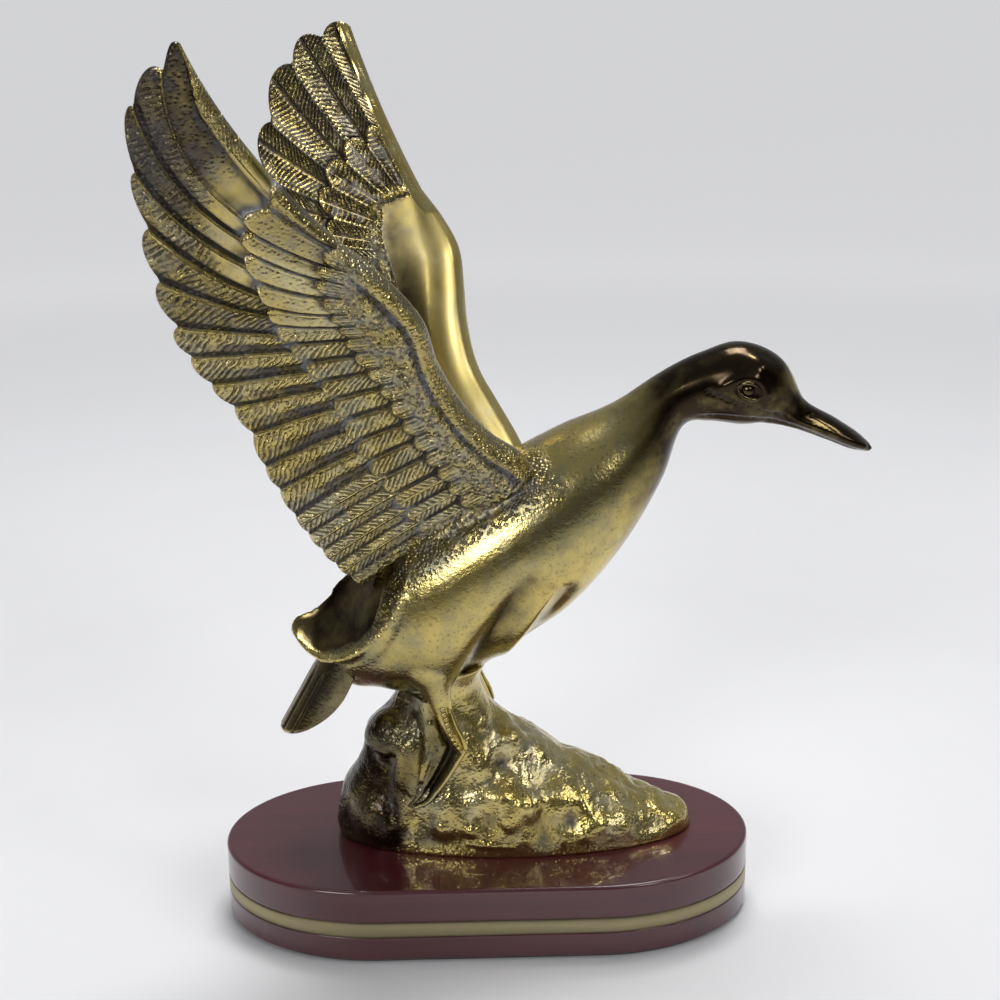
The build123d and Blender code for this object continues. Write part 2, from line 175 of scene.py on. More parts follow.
def level_tube(rings, origin, samples, around, side=1):
    """Tube through level ellipses set off from an origin, given as rows of rise, x, y, half length and half
    width; side -1 mirrors it in y."""
    rings = np.asarray(rings, float)
    at = np.linspace(0, 1, samples)
    rise, x, y, half_length, half_width = spline(np.linspace(0, 1, len(rings)), rings, at).T
    centres = np.array(origin) + np.stack([x, side * y, rise], -1)
    wide = np.stack([half_length, at * 0, at * 0], -1)
    tall = np.stack([at * 0, half_width, at * 0], -1)
    return tube(centres, wide, tall, around)


def cord_tube(path, radii, around, samples):
    """Round tube along a smooth path through a few points, its radius smooth along it."""
    path = np.asarray(path, float)
    at = run_length(path)
    place = np.linspace(0, at[-1], samples)
    centres = spline(at, path, place)
    radius = spline(at, radii, place)[:, None]
    forward = np.gradient(centres, axis=0)
    forward /= np.linalg.norm(forward, axis=1, keepdims=True)
    side = np.cross(forward, np.cross((0.0, 1.0, 0.0), forward))
    side /= np.linalg.norm(side, axis=1, keepdims=True)
    return tube(centres, side * radius, np.cross(forward, side) * radius, around)


def station_tube(stations, around=64, samples=150):
    """Tube through ellipses (x, rise over the seat, tilt, half height, half width) that stand across the
    spine."""
    stations = np.asarray(stations, float)
    middle = np.stack([stations[:, 0], stations[:, 0] * 0, SEAT + stations[:, 1]], -1)
    at = run_length(middle)
    place = np.linspace(0, at[-1], samples)
    centres = spline(at, middle, place)
    tilt, half_height, half_width = spline(at, stations[:, 2:], place).T
    tilt = np.radians(tilt)
    up = np.stack([-np.sin(tilt), tilt * 0, np.cos(tilt)], -1)
    wide = np.stack([tilt * 0, half_width, tilt * 0], -1)
    return tube(centres, wide, up * half_height[:, None], around)


def joined(shells):
    """Several shells as one list of points and of faces."""
    points, faces, start = [], [], 0
    for shell_points, shell_faces in shells:
        points.append(shell_points)
        faces += [group + start for group in shell_faces]
        start += len(shell_points)
    return np.concatenate(points), faces


# Meshes

def new_mesh(name, points, faces):
    """A mesh in metres from points in millimetres."""
    mesh = bpy.data.meshes.new(name)
    mesh.from_pydata((np.asarray(points) * MM).tolist(), [], [f for group in faces for f in group.tolist()])
    mesh.validate()
    mesh.update()
    return mesh


def vectors_of(mesh, kind):
    """One vector per vertex of a mesh, as it is stored there."""
    flat = np.empty(len(mesh.vertices) * 3, np.float32)
    mesh.vertices.foreach_get(kind, flat)
    return flat.reshape(-1, 3).astype(float)


def points_of(mesh):
    """Vertex places of a mesh in millimetres."""
    return vectors_of(mesh, "co") / MM


def normals_of(mesh):
    """Vertex normals of a mesh."""
    return vectors_of(mesh, "normal")


def move_points(mesh, points):
    """Puts new vertex places, in millimetres, into a mesh."""
    mesh.vertices.foreach_set("co", (points * MM).astype(np.float32).ravel())
    mesh.update()


def edges_of(mesh):
    """Vertex pairs of a mesh's edges."""
    pairs = np.empty(len(mesh.edges) * 2, np.int32)
    mesh.edges.foreach_get("vertices", pairs)
    return pairs.reshape(-1, 2)


def relaxed(values, pairs, rounds, forward=0.5, back=-0.52):
    """Each value moved towards the mean of its neighbours, and partly back, so that a form keeps its
    volume."""
    values = np.array(values, float)
    flat = values.ndim == 1
    values = values[:, None] if flat else values
    size = len(values)
    count = np.maximum(np.bincount(pairs.ravel(), minlength=size), 1)[:, None]
    for _ in range(rounds):
        for step in (forward, back):
            if step:
                total = np.stack([np.bincount(pairs[:, 0], v[pairs[:, 1]], size)
                                  + np.bincount(pairs[:, 1], v[pairs[:, 0]], size) for v in values.T], -1)
                values = values + step * (total / count - values)
    return values[:, 0] if flat else values


def fused(name, shells, voxel, rounds):
    """Outer skin of several closed shells: a voxel remesh of them together, then rounds of relaxing."""
    rough = new_mesh(name + "_shells", *joined(shells))
    carrier = bpy.data.objects.new(name + "_shells", rough)
    bpy.context.scene.collection.objects.link(carrier)
    remesh = carrier.modifiers.new("skin", "REMESH")
    remesh.mode = "VOXEL"
    remesh.voxel_size = voxel * MM
    graph = bpy.context.evaluated_depsgraph_get()
    mesh = bpy.data.meshes.new_from_object(carrier.evaluated_get(graph))
    bpy.data.objects.remove(carrier)
    bpy.data.meshes.remove(rough)
    mesh.name = name
    move_points(mesh, relaxed(points_of(mesh), edges_of(mesh), rounds))
    return mesh


def hollows_of(mesh, rounds, reach):
    """How deep each vertex lies in a hollow: the relaxed surface's height over it, as a share of the
    reach."""
    points, normals, pairs = points_of(mesh), normals_of(mesh), edges_of(mesh)
    broad = relaxed(points, pairs, rounds, 0.5, 0)
    depth = np.einsum("ij,ij->i", broad - points, normals)
    return np.clip(depth / reach, -1, 1)


def paint(mesh, **layers):
    """Stores one number per vertex under each name, for the finish to read."""
    for name, values in layers.items():
        layer = mesh.attributes.new(name, "FLOAT", "POINT")
        layer.data.foreach_set("value", np.asarray(values, np.float32))


def smooth_faces(mesh):
    """Shades every face smoothly."""
    mesh.polygons.foreach_set("use_smooth", np.ones(len(mesh.polygons), bool))
    mesh.update()


def border_of(shape):
    """Mask of a grid's first and last rows and columns."""
    border = np.zeros(shape, bool)
    border[0], border[-1], border[:, 0], border[:, -1] = True, True, True, True
    return border


def skins_mesh(name, skins, layers):
    """Two skins over one grid, closed along its border, where both take the middle between them. Each layer
    is a pair of grids, one per skin."""
    rows, columns = skins[0].shape[:2]
    border = border_of((rows, columns))
    first = np.arange(rows * columns).reshape(rows, columns)
    second = np.where(border, first, rows * columns + (np.cumsum(~border) - 1).reshape(rows, columns))
    top = np.where(border[..., None], (skins[0] + skins[1]) / 2, skins[0])
    points = np.concatenate([top.reshape(-1, 3), skins[1][~border]])
    quads = grid_quads(rows, columns)
    both = np.concatenate([first.ravel()[quads], second.ravel()[quads][:, ::-1]])
    mesh = new_mesh(name, points, outward(points, [both]))
    for layer, (upper, lower) in layers.items():
        paint(mesh, **{layer: np.concatenate([upper.ravel(), lower[~border]])})
    smooth_faces(mesh)
    return mesh


def put_piece(name, mesh, material, slot, *nodes):
    """Makes the object of a piece, which rides on the root body and stands for its CAD nodes."""
    mesh.materials.clear()
    mesh.materials.append(material)
    piece = bpy.data.objects.new(name, mesh)
    bpy.context.scene.collection.objects.link(piece)
    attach(piece, "root")
    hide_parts(*nodes)


# Finishes

# Heights of shaded relief in metres, and plain white

GRAIN_HEIGHT = 0.0003
FEATHER_LINE_HEIGHT = 0.0007
FINE_HEIGHT = 0.0002
WHITE = (1, 1, 1, 1)


def add_node(tree, kind, sockets=None, **settings):
    """One shader node. A socket given an output is linked to it, and one given a value holds it."""
    made = tree.nodes.new(kind)
    for name, value in settings.items():
        setattr(made, name, value)
    for key, value in (sockets or {}).items():
        if isinstance(value, bpy.types.NodeSocket):
            tree.links.new(value, made.inputs[key])
        else:
            made.inputs[key].default_value = value
    return made


def mixed(tree, factor, first, second):
    """Colour between two colours: the first where the factor is 0, the second where it is 1."""
    return add_node(tree, "ShaderNodeMix", {0: factor, 6: first, 7: second}, data_type="RGBA").outputs[2]


def object_place(tree):
    """The place of a shaded point in its piece."""
    return add_node(tree, "ShaderNodeTexCoord").outputs["Object"]


def stretched_place(tree, place, scale):
    """A place scaled along each axis."""
    return add_node(tree, "ShaderNodeMapping", {"Vector": place, "Scale": scale}).outputs[0]


def bumped(tree, strength, distance, height):
    """Bump node that turns a height into a shading normal."""
    return add_node(tree, "ShaderNodeBump", {"Strength": strength, "Distance": distance, "Height": height})


def put_shader(tree, surface, sockets):
    """A Principled shader with the given sockets, linked to the surface."""
    shader = add_node(tree, "ShaderNodeBsdfPrincipled", sockets)
    tree.links.new(shader.outputs[0], surface)


def sums(tree, operation, first, second=0.0, third=0.0, clamp=False):
    """One step of arithmetic on values."""
    return add_node(tree, "ShaderNodeMath", {0: first, 1: second, 2: third}, operation=operation,
                    use_clamp=clamp).outputs[0]


def spread(tree, value, low, high, to_low=0.0, to_high=1.0):
    """A value's range turned into another range, held at both ends."""
    return add_node(tree, "ShaderNodeMapRange",
                    {0: value, 1: low, 2: high, 3: to_low, 4: to_high}).outputs[0]


def noise(tree, place, scale, detail=3.0, roughness=0.55, distortion=0.0):
    """Cloudy pattern between 0 and 1."""
    return add_node(tree, "ShaderNodeTexNoise", {
        "Vector": place, "Scale": scale, "Detail": detail, "Roughness": roughness,
        "Distortion": distortion}).outputs["Fac"]


def new_group(name, inputs, outputs):
    """Empty shader node group with named sockets: its tree, input sockets and output node."""
    tree = bpy.data.node_groups.new(name, "ShaderNodeTree")
    kinds = {"value": "NodeSocketFloat", "colour": "NodeSocketColor"}
    for title, kind, default in inputs:
        socket = tree.interface.new_socket(title, in_out="INPUT", socket_type=kinds[kind])
        socket.default_value = default
    for title, kind in outputs:
        tree.interface.new_socket(title, in_out="OUTPUT", socket_type=kinds[kind])
    return tree, add_node(tree, "NodeGroupInput").outputs, add_node(tree, "NodeGroupOutput").inputs


def aged_brass_group():
    """Brass that was cast, browned and rubbed: gold where polished, olive where cast, brown where it was
    stained and where shade or a dark reflection is painted into the brown layer, dark in hollows, chalky
    where polish dried in the deepest ones."""
    tree, given, gives = new_group("Aged brass", [
        ("Hollow", "value", 0.0), ("Polish", "value", 0.5), ("Brown", "value", 0.0), ("Chalk", "value", 0.0),
        ("Gold", "colour", WHITE), ("Olive", "colour", WHITE), ("Umber", "colour", WHITE),
        ("Residue", "colour", WHITE)],
        [("Color", "colour"), ("Roughness", "value"), ("Metallic", "value")])
    place = object_place(tree)
    cloud = noise(tree, place, 60.0, 4.0)
    patch = noise(tree, place, 230.0, 4.0, 0.6)
    speck = noise(tree, place, 1500.0, 2.0, 0.6)
    cast = sums(tree, "SUBTRACT", 1.0, given["Polish"])
    greened = sums(tree, "ADD", spread(tree, cloud, 0.38, 0.62), spread(tree, patch, 0.42, 0.7, -0.3, 0.45))
    greened = sums(tree, "MULTIPLY", greened, sums(tree, "MULTIPLY_ADD", cast, 0.6, 0.4), clamp=True)
    colour = mixed(tree, greened, given["Gold"], given["Olive"])
    stain = sums(tree, "ADD", given["Brown"], spread(tree, patch, 0.3, 0.7, -0.14, 0.14))
    stain = sums(tree, "MULTIPLY", stain, spread(tree, given["Brown"], 0.0, 0.1), clamp=True)
    colour = mixed(tree, stain, colour, given["Umber"])
    deep = spread(tree, given["Hollow"], 0.02, 0.75)
    deep = sums(tree, "MULTIPLY", deep, spread(tree, patch, 0.25, 0.6, 0.6, 1.0))
    colour = mixed(tree, deep, colour, given["Umber"])
    worn = spread(tree, given["Hollow"], -0.05, -0.7)
    colour = mixed(tree, sums(tree, "MULTIPLY", worn, 0.75), colour, given["Gold"])
    specks = sums(tree, "MULTIPLY", spread(tree, speck, 0.57, 0.7),
                  sums(tree, "MULTIPLY_ADD", cast, 0.7, 0.05))
    colour = mixed(tree, specks, colour, given["Umber"])
    dust = sums(tree, "MULTIPLY", given["Chalk"], spread(tree, patch, 0.4, 0.62))
    dust = sums(tree, "MULTIPLY", dust, spread(tree, given["Hollow"], -0.15, 0.3, 0.25, 1.0))
    dust = sums(tree, "MULTIPLY", dust, spread(tree, speck, 0.3, 0.6, 0.45, 1.0), clamp=True)
    colour = mixed(tree, dust, colour, given["Residue"])
    tree.links.new(colour, gives["Color"])
    rough = sums(tree, "ADD", spread(tree, given["Polish"], 0.0, 0.95, 0.28, 0.15),
                 spread(tree, given["Polish"], 0.96, 1.0, 0.0, 0.17))
    rough = sums(tree, "ADD", rough, spread(tree, patch, 0.3, 0.7, -0.04, 0.07))
    rough = sums(tree, "ADD", rough, sums(tree, "MULTIPLY", deep, 0.14))
    tree.links.new(sums(tree, "ADD", rough, sums(tree, "MULTIPLY", dust, 0.35), clamp=True),
                   gives["Roughness"])
    tree.links.new(sums(tree, "SUBTRACT", 1.0, sums(tree, "MULTIPLY", dust, 0.75)), gives["Metallic"])
    return tree


def feather_lines_group():
    """Lines engraved into a feather: barbs that slant off its quill, the quill itself and the seam to its
    neighbour."""
    tree, given, gives = new_group("Feather lines", [
        ("Barb", "value", 0.0), ("Across", "value", 0.0), ("Barbed", "value", 0.0), ("Quill", "value", 0.0),
        ("Seam", "value", 0.0)],
        [("Height", "value"), ("Line", "value")])
    place = object_place(tree)
    wobble = noise(tree, place, 620.0, 2.0)
    rubbed = noise(tree, place, 330.0, 3.0)
    phase = sums(tree, "FRACT", sums(tree, "MULTIPLY_ADD", wobble, 0.55, given["Barb"]))
    cut = spread(tree, sums(tree, "ABSOLUTE", sums(tree, "MULTIPLY_ADD", phase, 2.0, -1.0)), 0.35, 0.95)
    cut = sums(tree, "MULTIPLY", cut, spread(tree, rubbed, 0.36, 0.58, 0.15, 1.0))
    cut = sums(tree, "MULTIPLY", cut,
               sums(tree, "MULTIPLY", given["Barbed"], spread(tree, given["Across"], 0.06, 0.2)))
    quill = sums(tree, "MULTIPLY", spread(tree, given["Across"], 0.16, 0.04), given["Quill"])
    seam = sums(tree, "MULTIPLY", spread(tree, given["Across"], 0.82, 0.97), given["Seam"])
    height = sums(tree, "SUBTRACT", sums(tree, "MULTIPLY_ADD", cut, -0.75, quill), seam)
    tree.links.new(height, gives["Height"])
    dark = sums(tree, "MULTIPLY_ADD", quill, -0.9, sums(tree, "MULTIPLY_ADD", cut, 0.6, seam))
    tree.links.new(dark, gives["Line"])
    return tree


def cast_grain_group():
    """Height of a sand-cast skin: grain of three sizes everywhere, punched stipple where asked for, faint
    where polished. The pits of the stipple come out as a mask too."""
    tree, given, gives = new_group("Cast grain", [("Polish", "value", 0.5), ("Stipple", "value", 0.0)],
                                   [("Height", "value"), ("Pit", "value")])
    place = object_place(tree)
    fine = noise(tree, place, 2600.0, 2.0)
    middle = noise(tree, place, 1100.0, 2.0)
    broad = noise(tree, place, 420.0, 3.0, 0.6)
    punched = add_node(tree, "ShaderNodeTexVoronoi",
                       {"Vector": place, "Scale": 1150.0, "Randomness": 0.9}).outputs["Distance"]
    cast = sums(tree, "SUBTRACT", 1.0, given["Polish"])
    skin = sums(tree, "MULTIPLY_ADD", fine, 0.35, sums(tree, "MULTIPLY_ADD", middle, 0.7, broad))
    skin = sums(tree, "MULTIPLY", skin, sums(tree, "MULTIPLY_ADD", cast, 0.95, 0.02))
    dots = sums(tree, "MULTIPLY", spread(tree, punched, 0.1, 0.55), given["Stipple"])
    tree.links.new(sums(tree, "MULTIPLY_ADD", dots, 2.2, skin), gives["Height"])
    tree.links.new(sums(tree, "MULTIPLY", spread(tree, punched, 0.42, 0.12), given["Stipple"]), gives["Pit"])
    return tree


def wood_grain_group():
    """Close straight grain along the plinth: stretched clouds for the figure, thin dark dashes for the
    pores."""
    tree, given, gives = new_group("Mahogany figure", [
        ("Heart", "colour", WHITE), ("Dark", "colour", WHITE)], [("Color", "colour"), ("Height", "value")])
    place = object_place(tree)
    long = stretched_place(tree, place, (0.09, 1.0, 1.0))
    figure = noise(tree, long, 260.0, 5.0, 0.6, 0.6)
    pores = noise(tree, stretched_place(tree, place, (0.05, 1.0, 1.0)), 1500.0, 2.0)
    colour = mixed(tree, spread(tree, figure, 0.3, 0.75), given["Heart"], given["Dark"])
    colour = mixed(tree, spread(tree, pores, 0.62, 0.75, 0.0, 0.6), colour, given["Dark"])
    tree.links.new(colour, gives["Color"])
    tree.links.new(figure, gives["Height"])
    return tree


def shared_group(name, maker):
    """A node group that is built once."""
    return bpy.data.node_groups.get(name) or maker()


def new_material(name):
    """Empty node material: its tree and its surface socket."""
    material = bpy.data.materials.new(name)
    material.use_nodes = True
    material.node_tree.nodes.clear()
    out = add_node(material.node_tree, "ShaderNodeOutputMaterial")
    return material, material.node_tree, out.inputs["Surface"]


def brass(name, colours, skin, bump, coat=0.25, feathered=False):
    """Aged brass over cast grain, both read from the piece's own painted layers, under thin clear
    lacquer."""
    material, tree, surface = new_material(name)
    layer = {n: add_node(tree, "ShaderNodeAttribute", attribute_name=n).outputs["Fac"]
             for n in ("hollow", "polish", "brown", "chalk", "stipple")}
    grain = add_node(tree, "ShaderNodeGroup", node_tree=shared_group("Cast grain", cast_grain_group))
    tree.links.new(layer["polish"], grain.inputs["Polish"])
    tree.links.new(layer["stipple"], grain.inputs["Stipple"])
    relief = bumped(tree, bump, GRAIN_HEIGHT, grain.outputs["Height"])
    hollow = sums(tree, "MULTIPLY_ADD", grain.outputs["Pit"], 0.55, layer["hollow"])
    if feathered:
        lines = add_node(tree, "ShaderNodeGroup",
                         node_tree=shared_group("Feather lines", feather_lines_group))
        for socket in ("Barb", "Across", "Barbed", "Quill", "Seam"):
            source = add_node(tree, "ShaderNodeAttribute", attribute_name=socket.lower())
            tree.links.new(source.outputs["Fac"], lines.inputs[socket])
        carved = bumped(tree, 1.0, FEATHER_LINE_HEIGHT, lines.outputs["Height"])
        tree.links.new(carved.outputs[0], relief.inputs["Normal"])
        hollow = sums(tree, "ADD", hollow, lines.outputs["Line"])
    aged = add_node(tree, "ShaderNodeGroup", {
        "Hollow": hollow, "Polish": layer["polish"], "Brown": layer["brown"], "Chalk": layer["chalk"],
        "Gold": (*colours.gold, 1), "Olive": (*skin, 1), "Umber": (*colours.umber, 1),
        "Residue": (*colours.residue, 1)}, node_tree=shared_group("Aged brass", aged_brass_group))
    put_shader(tree, surface, {
        "Base Color": aged.outputs["Color"], "Roughness": aged.outputs["Roughness"],
        "Metallic": aged.outputs["Metallic"], "Normal": relief.outputs[0],
        "Coat Weight": coat, "Coat Roughness": 0.12})
    return material


def lacquered_wood(name, colours):
    """Mahogany figure under a thick clear gloss coat."""
    material, tree, surface = new_material(name)
    figure = add_node(tree, "ShaderNodeGroup", node_tree=shared_group("Mahogany figure", wood_grain_group))
    figure.inputs["Heart"].default_value = (*colours.mahogany, 1)
    figure.inputs["Dark"].default_value = (*colours.mahogany_dark, 1)
    relief = bumped(tree, 0.03, FINE_HEIGHT, figure.outputs["Height"])
    put_shader(tree, surface, {
        "Base Color": figure.outputs["Color"], "Roughness": 0.32, "Normal": relief.outputs[0],
        "Coat Weight": 0.85, "Coat Roughness": 0.03})
    return material


def band_brass(name, colours):
    """Flat brass strip, brushed along its length and dulled by lacquer, with painted shade along both edges.
    """
    material, tree, surface = new_material(name)
    place = object_place(tree)
    brushed = noise(tree, stretched_place(tree, place, (0.2, 0.2, 3.0)), 900.0, 3.0)
    height = add_node(tree, "ShaderNodeSeparateXYZ", {0: place}).outputs[2]
    half = BAND_HEIGHT / 2
    from_middle = sums(tree, "ABSOLUTE", sums(tree, "SUBTRACT", height, (PLINTH_JOINT - half) * MM))
    edge = spread(tree, from_middle, 1.2 * MM, half * MM)
    colour = mixed(tree, spread(tree, brushed, 0.35, 0.7, 0.0, 0.5), (*colours.band, 1), (*colours.olive, 1))
    # Painted shade along both edges, where the strip meets the boards
    colour = mixed(tree, sums(tree, "MULTIPLY", edge, 0.75), colour, (*colours.umber, 1))
    relief = bumped(tree, 0.15, FINE_HEIGHT, brushed)
    put_shader(tree, surface, {
        "Base Color": colour, "Roughness": spread(tree, brushed, 0.3, 0.7, 0.34, 0.48), "Metallic": 0.9,
        "Normal": relief.outputs[0]})
    return material


def felt(name, colours):
    """Pressed felt: matted fibres in two tones, with a soft sheen."""
    material, tree, surface = new_material(name)
    place = object_place(tree)
    fibres = noise(tree, place, 2400.0, 4.0, 0.7, 1.5)
    dark = tuple(c * 0.55 for c in colours.felt)
    relief = bumped(tree, 0.6, GRAIN_HEIGHT, fibres)
    put_shader(tree, surface, {
        "Base Color": mixed(tree, spread(tree, fibres, 0.35, 0.65), (*colours.felt, 1), (*dark, 1)),
        "Roughness": 0.95, "Sheen Weight": 0.3, "Normal": relief.outputs[0]})
    return material


def plated_steel(name, colours):
    """Zinc-plated steel with a faint cloudy dullness."""
    material, tree, surface = new_material(name)
    place = object_place(tree)
    cloud = noise(tree, place, 700.0, 4.0)
    dark = tuple(c * 0.6 for c in colours.steel)
    put_shader(tree, surface, {
        "Base Color": mixed(tree, spread(tree, cloud, 0.35, 0.7), (*colours.steel, 1), (*dark, 1)),
        "Roughness": spread(tree, cloud, 0.3, 0.7, 0.25, 0.45), "Metallic": 1.0})
    return material


# Wings

# The leading edge as pairs of (place along the span, distance back), then for every feather border from
# the root to the tip its root, middle and end as (distance back, place along the span), how far each tip
# stands out, and where along a feather the greater and the lesser coverts end

WINGS = {
    "right": {
        "shoulder": (8.0, -9.5, 107.0), "sweep": 32.0, "dihedral": 16.5, "side": -1,
        "lead": [(-6, -0.6), (0.6, -0.3), (6.2, 1.7), (17.8, 3.0), (28.1, 2.0), (36.9, -0.4), (45.4, 0.0),
                 (56.3, 2.4), (60, 3.4)],
        "roots": [(6, -6), (6, -2), (6, 2), (6, 6), (6, 10), (6, 14), (6, 18), (6, 22), (6, 26), (6, 30),
                  (6.5, 34), (6.5, 37.5), (7, 41), (7, 44), (7, 47), (6.5, 50), (6, 53), (5, 56), (3.4, 60)],
        "middles": [(24, -6.5), (24.6, -2), (25, 2.3), (25, 6.8), (25, 11.5), (25, 16.5), (24.6, 21.4),
                    (24.2, 26.6), (23, 32), (22.5, 36), (22, 40), (22, 45.5), (22.5, 49.2), (23.5, 52),
                    (25.6, 56), (26.9, 67.9), (27.2, 77.7), (25.2, 84), (8.9, 85.6)],
        "notches": [(42.4, -7), (43.3, -3), (44, 1.5), (44.2, 6), (44.2, 11), (43.8, 16.2), (42.8, 23),
                    (42, 29), (39.5, 36.5), (38.9, 43.5), (39.4, 50), (39, 57), (37.2, 63.4), (34.4, 72.6),
                    (29.8, 82), (25.4, 91.8), (18.4, 101.6), (10.5, 103.9), (4.9, 106.3)],
        "tips": [0.8, 0.8, 0.8, 0.8, 0.8, 0.9, 0.9, 1.0, 1.2, 1.4, 1.6, 2.2, 2.6, 3.0, 3.3, 4.3, 3.6, 2.1],
        "greater": [0.49] * 12 + [0.50, 0.48, 0.45, 0.40, 0.34, 0.32, 0.30],
        "lesser": [0.22] * 12 + [0.18, 0.17, 0.15, 0.12, 0.08, 0.05, 0.0],
    },
    "left": {
        "shoulder": (9.0, 9.5, 102.0), "sweep": 17.0, "dihedral": 22.5, "side": 1,
        "lead": [(-6, -1.0), (2.4, -0.3), (12.1, 1.9), (19.4, 3.5), (30.6, 3.0), (37.7, 1.5), (46.2, 0.1),
                 (53.6, 1.5), (61, 4.1)],
        "roots": [(6, -6), (6, -2), (6, 2), (6, 6), (6, 10), (6, 14), (6, 18), (6, 22), (6, 26), (6, 30),
                  (6.5, 34), (7.5, 45), (8, 48), (8, 51), (8, 54), (7.5, 56), (6.5, 58), (4.1, 61)],
        "middles": [(24, -6.5), (24.6, -2), (25, 2.3), (25, 6.8), (25, 11.5), (25, 16.5), (24.6, 21.4),
                    (24.2, 26.6), (23, 32), (22.5, 36), (22, 41), (24, 51), (25, 57), (26.6, 65.8),
                    (24.6, 72.4), (18.8, 78), (11.5, 82), (7.8, 80)],
        "notches": [(42.4, -7), (43.3, -3), (44, 1.5), (44.2, 6), (44.2, 11), (43.8, 16.2), (42.8, 23),
                    (42, 29), (39.5, 36.5), (38.9, 43.5), (39.4, 50), (39.2, 57), (37.4, 63.4),
                    (34.9, 73.3), (30.9, 85.3), (23, 96), (15.1, 99.6), (8.6, 100.2)],
        "tips": [1.2, 1.4, 1.5, 1.5, 1.5, 1.5, 1.6, 1.7, 2.0, 2.0, 2.2, 2.8, 3.4, 4.2, 4.6, 3.8, 2.4],
        "greater": [0.49] * 11 + [0.50, 0.53, 0.53, 0.475, 0.425, 0.385, 0.36],
        "lesser": [0.22] * 11 + [0.20, 0.18, 0.16, 0.14, 0.12, 0.10, 0.08],
    },
}

# Arm inside the wing: place along the span, chord and thickness

ARM = [(-6, 6.4, 4.8), (12, 5.0, 4.2), (26, 4.2, 3.6), (42, 3.5, 3.0), (58, 2.8, 2.4), (76, 1.9, 1.7),
       (92, 1.3, 1.3), (108, 1.0, 1.0)]


def wing_axes(wing):
    """Shoulder point, and the directions back along the root, out to the tip, and square to the wing
    (towards +Y)."""
    sweep, dihedral = np.radians(wing["sweep"]), np.radians(wing["dihedral"])
    back = np.array([-np.cos(sweep), 0, -np.sin(sweep)])
    upright = np.array([-np.sin(sweep), 0, np.cos(sweep)])
    span = upright * np.cos(dihedral) + np.array([0, wing["side"], 0]) * np.sin(dihedral)
    return np.array(wing["shoulder"]), back, span, np.cross(back, span)


def on_wing(wing, a, b, h=0.0):
    """Point at distance a back from the shoulder, b along the span and h square to the wing."""
    origin, back, span, square = wing_axes(wing)
    a, b, h = (np.asarray(v, float)[..., None] for v in np.broadcast_arrays(a, b, h))
    return origin + a * back + b * span + h * square


def nearest(points, line):
    """Distance from each point of a grid to the nearest point of a line."""
    flat = points.reshape(-1, 2)
    best = np.full(len(flat), 1e9)
    for chunk in np.array_split(line, 12):
        gap = ((flat[:, None] - chunk[None]) ** 2).sum(-1).min(1)
        best = np.minimum(best, gap)
    return np.sqrt(best).reshape(points.shape[:2])


def box_blur(height, across, along):
    """Mean of a height grid over a window of rows and columns."""
    for axis, half in ((0, across), (1, along)):
        padded = np.pad(height, [(half + 1, half) if n == axis else (0, 0) for n in (0, 1)], mode="edge")
        total = np.cumsum(padded, axis=axis)
        size = 2 * half + 1
        height = (np.take(total, range(size, total.shape[axis]), axis)
                  - np.take(total, range(total.shape[axis] - size), axis)) / size
    return height


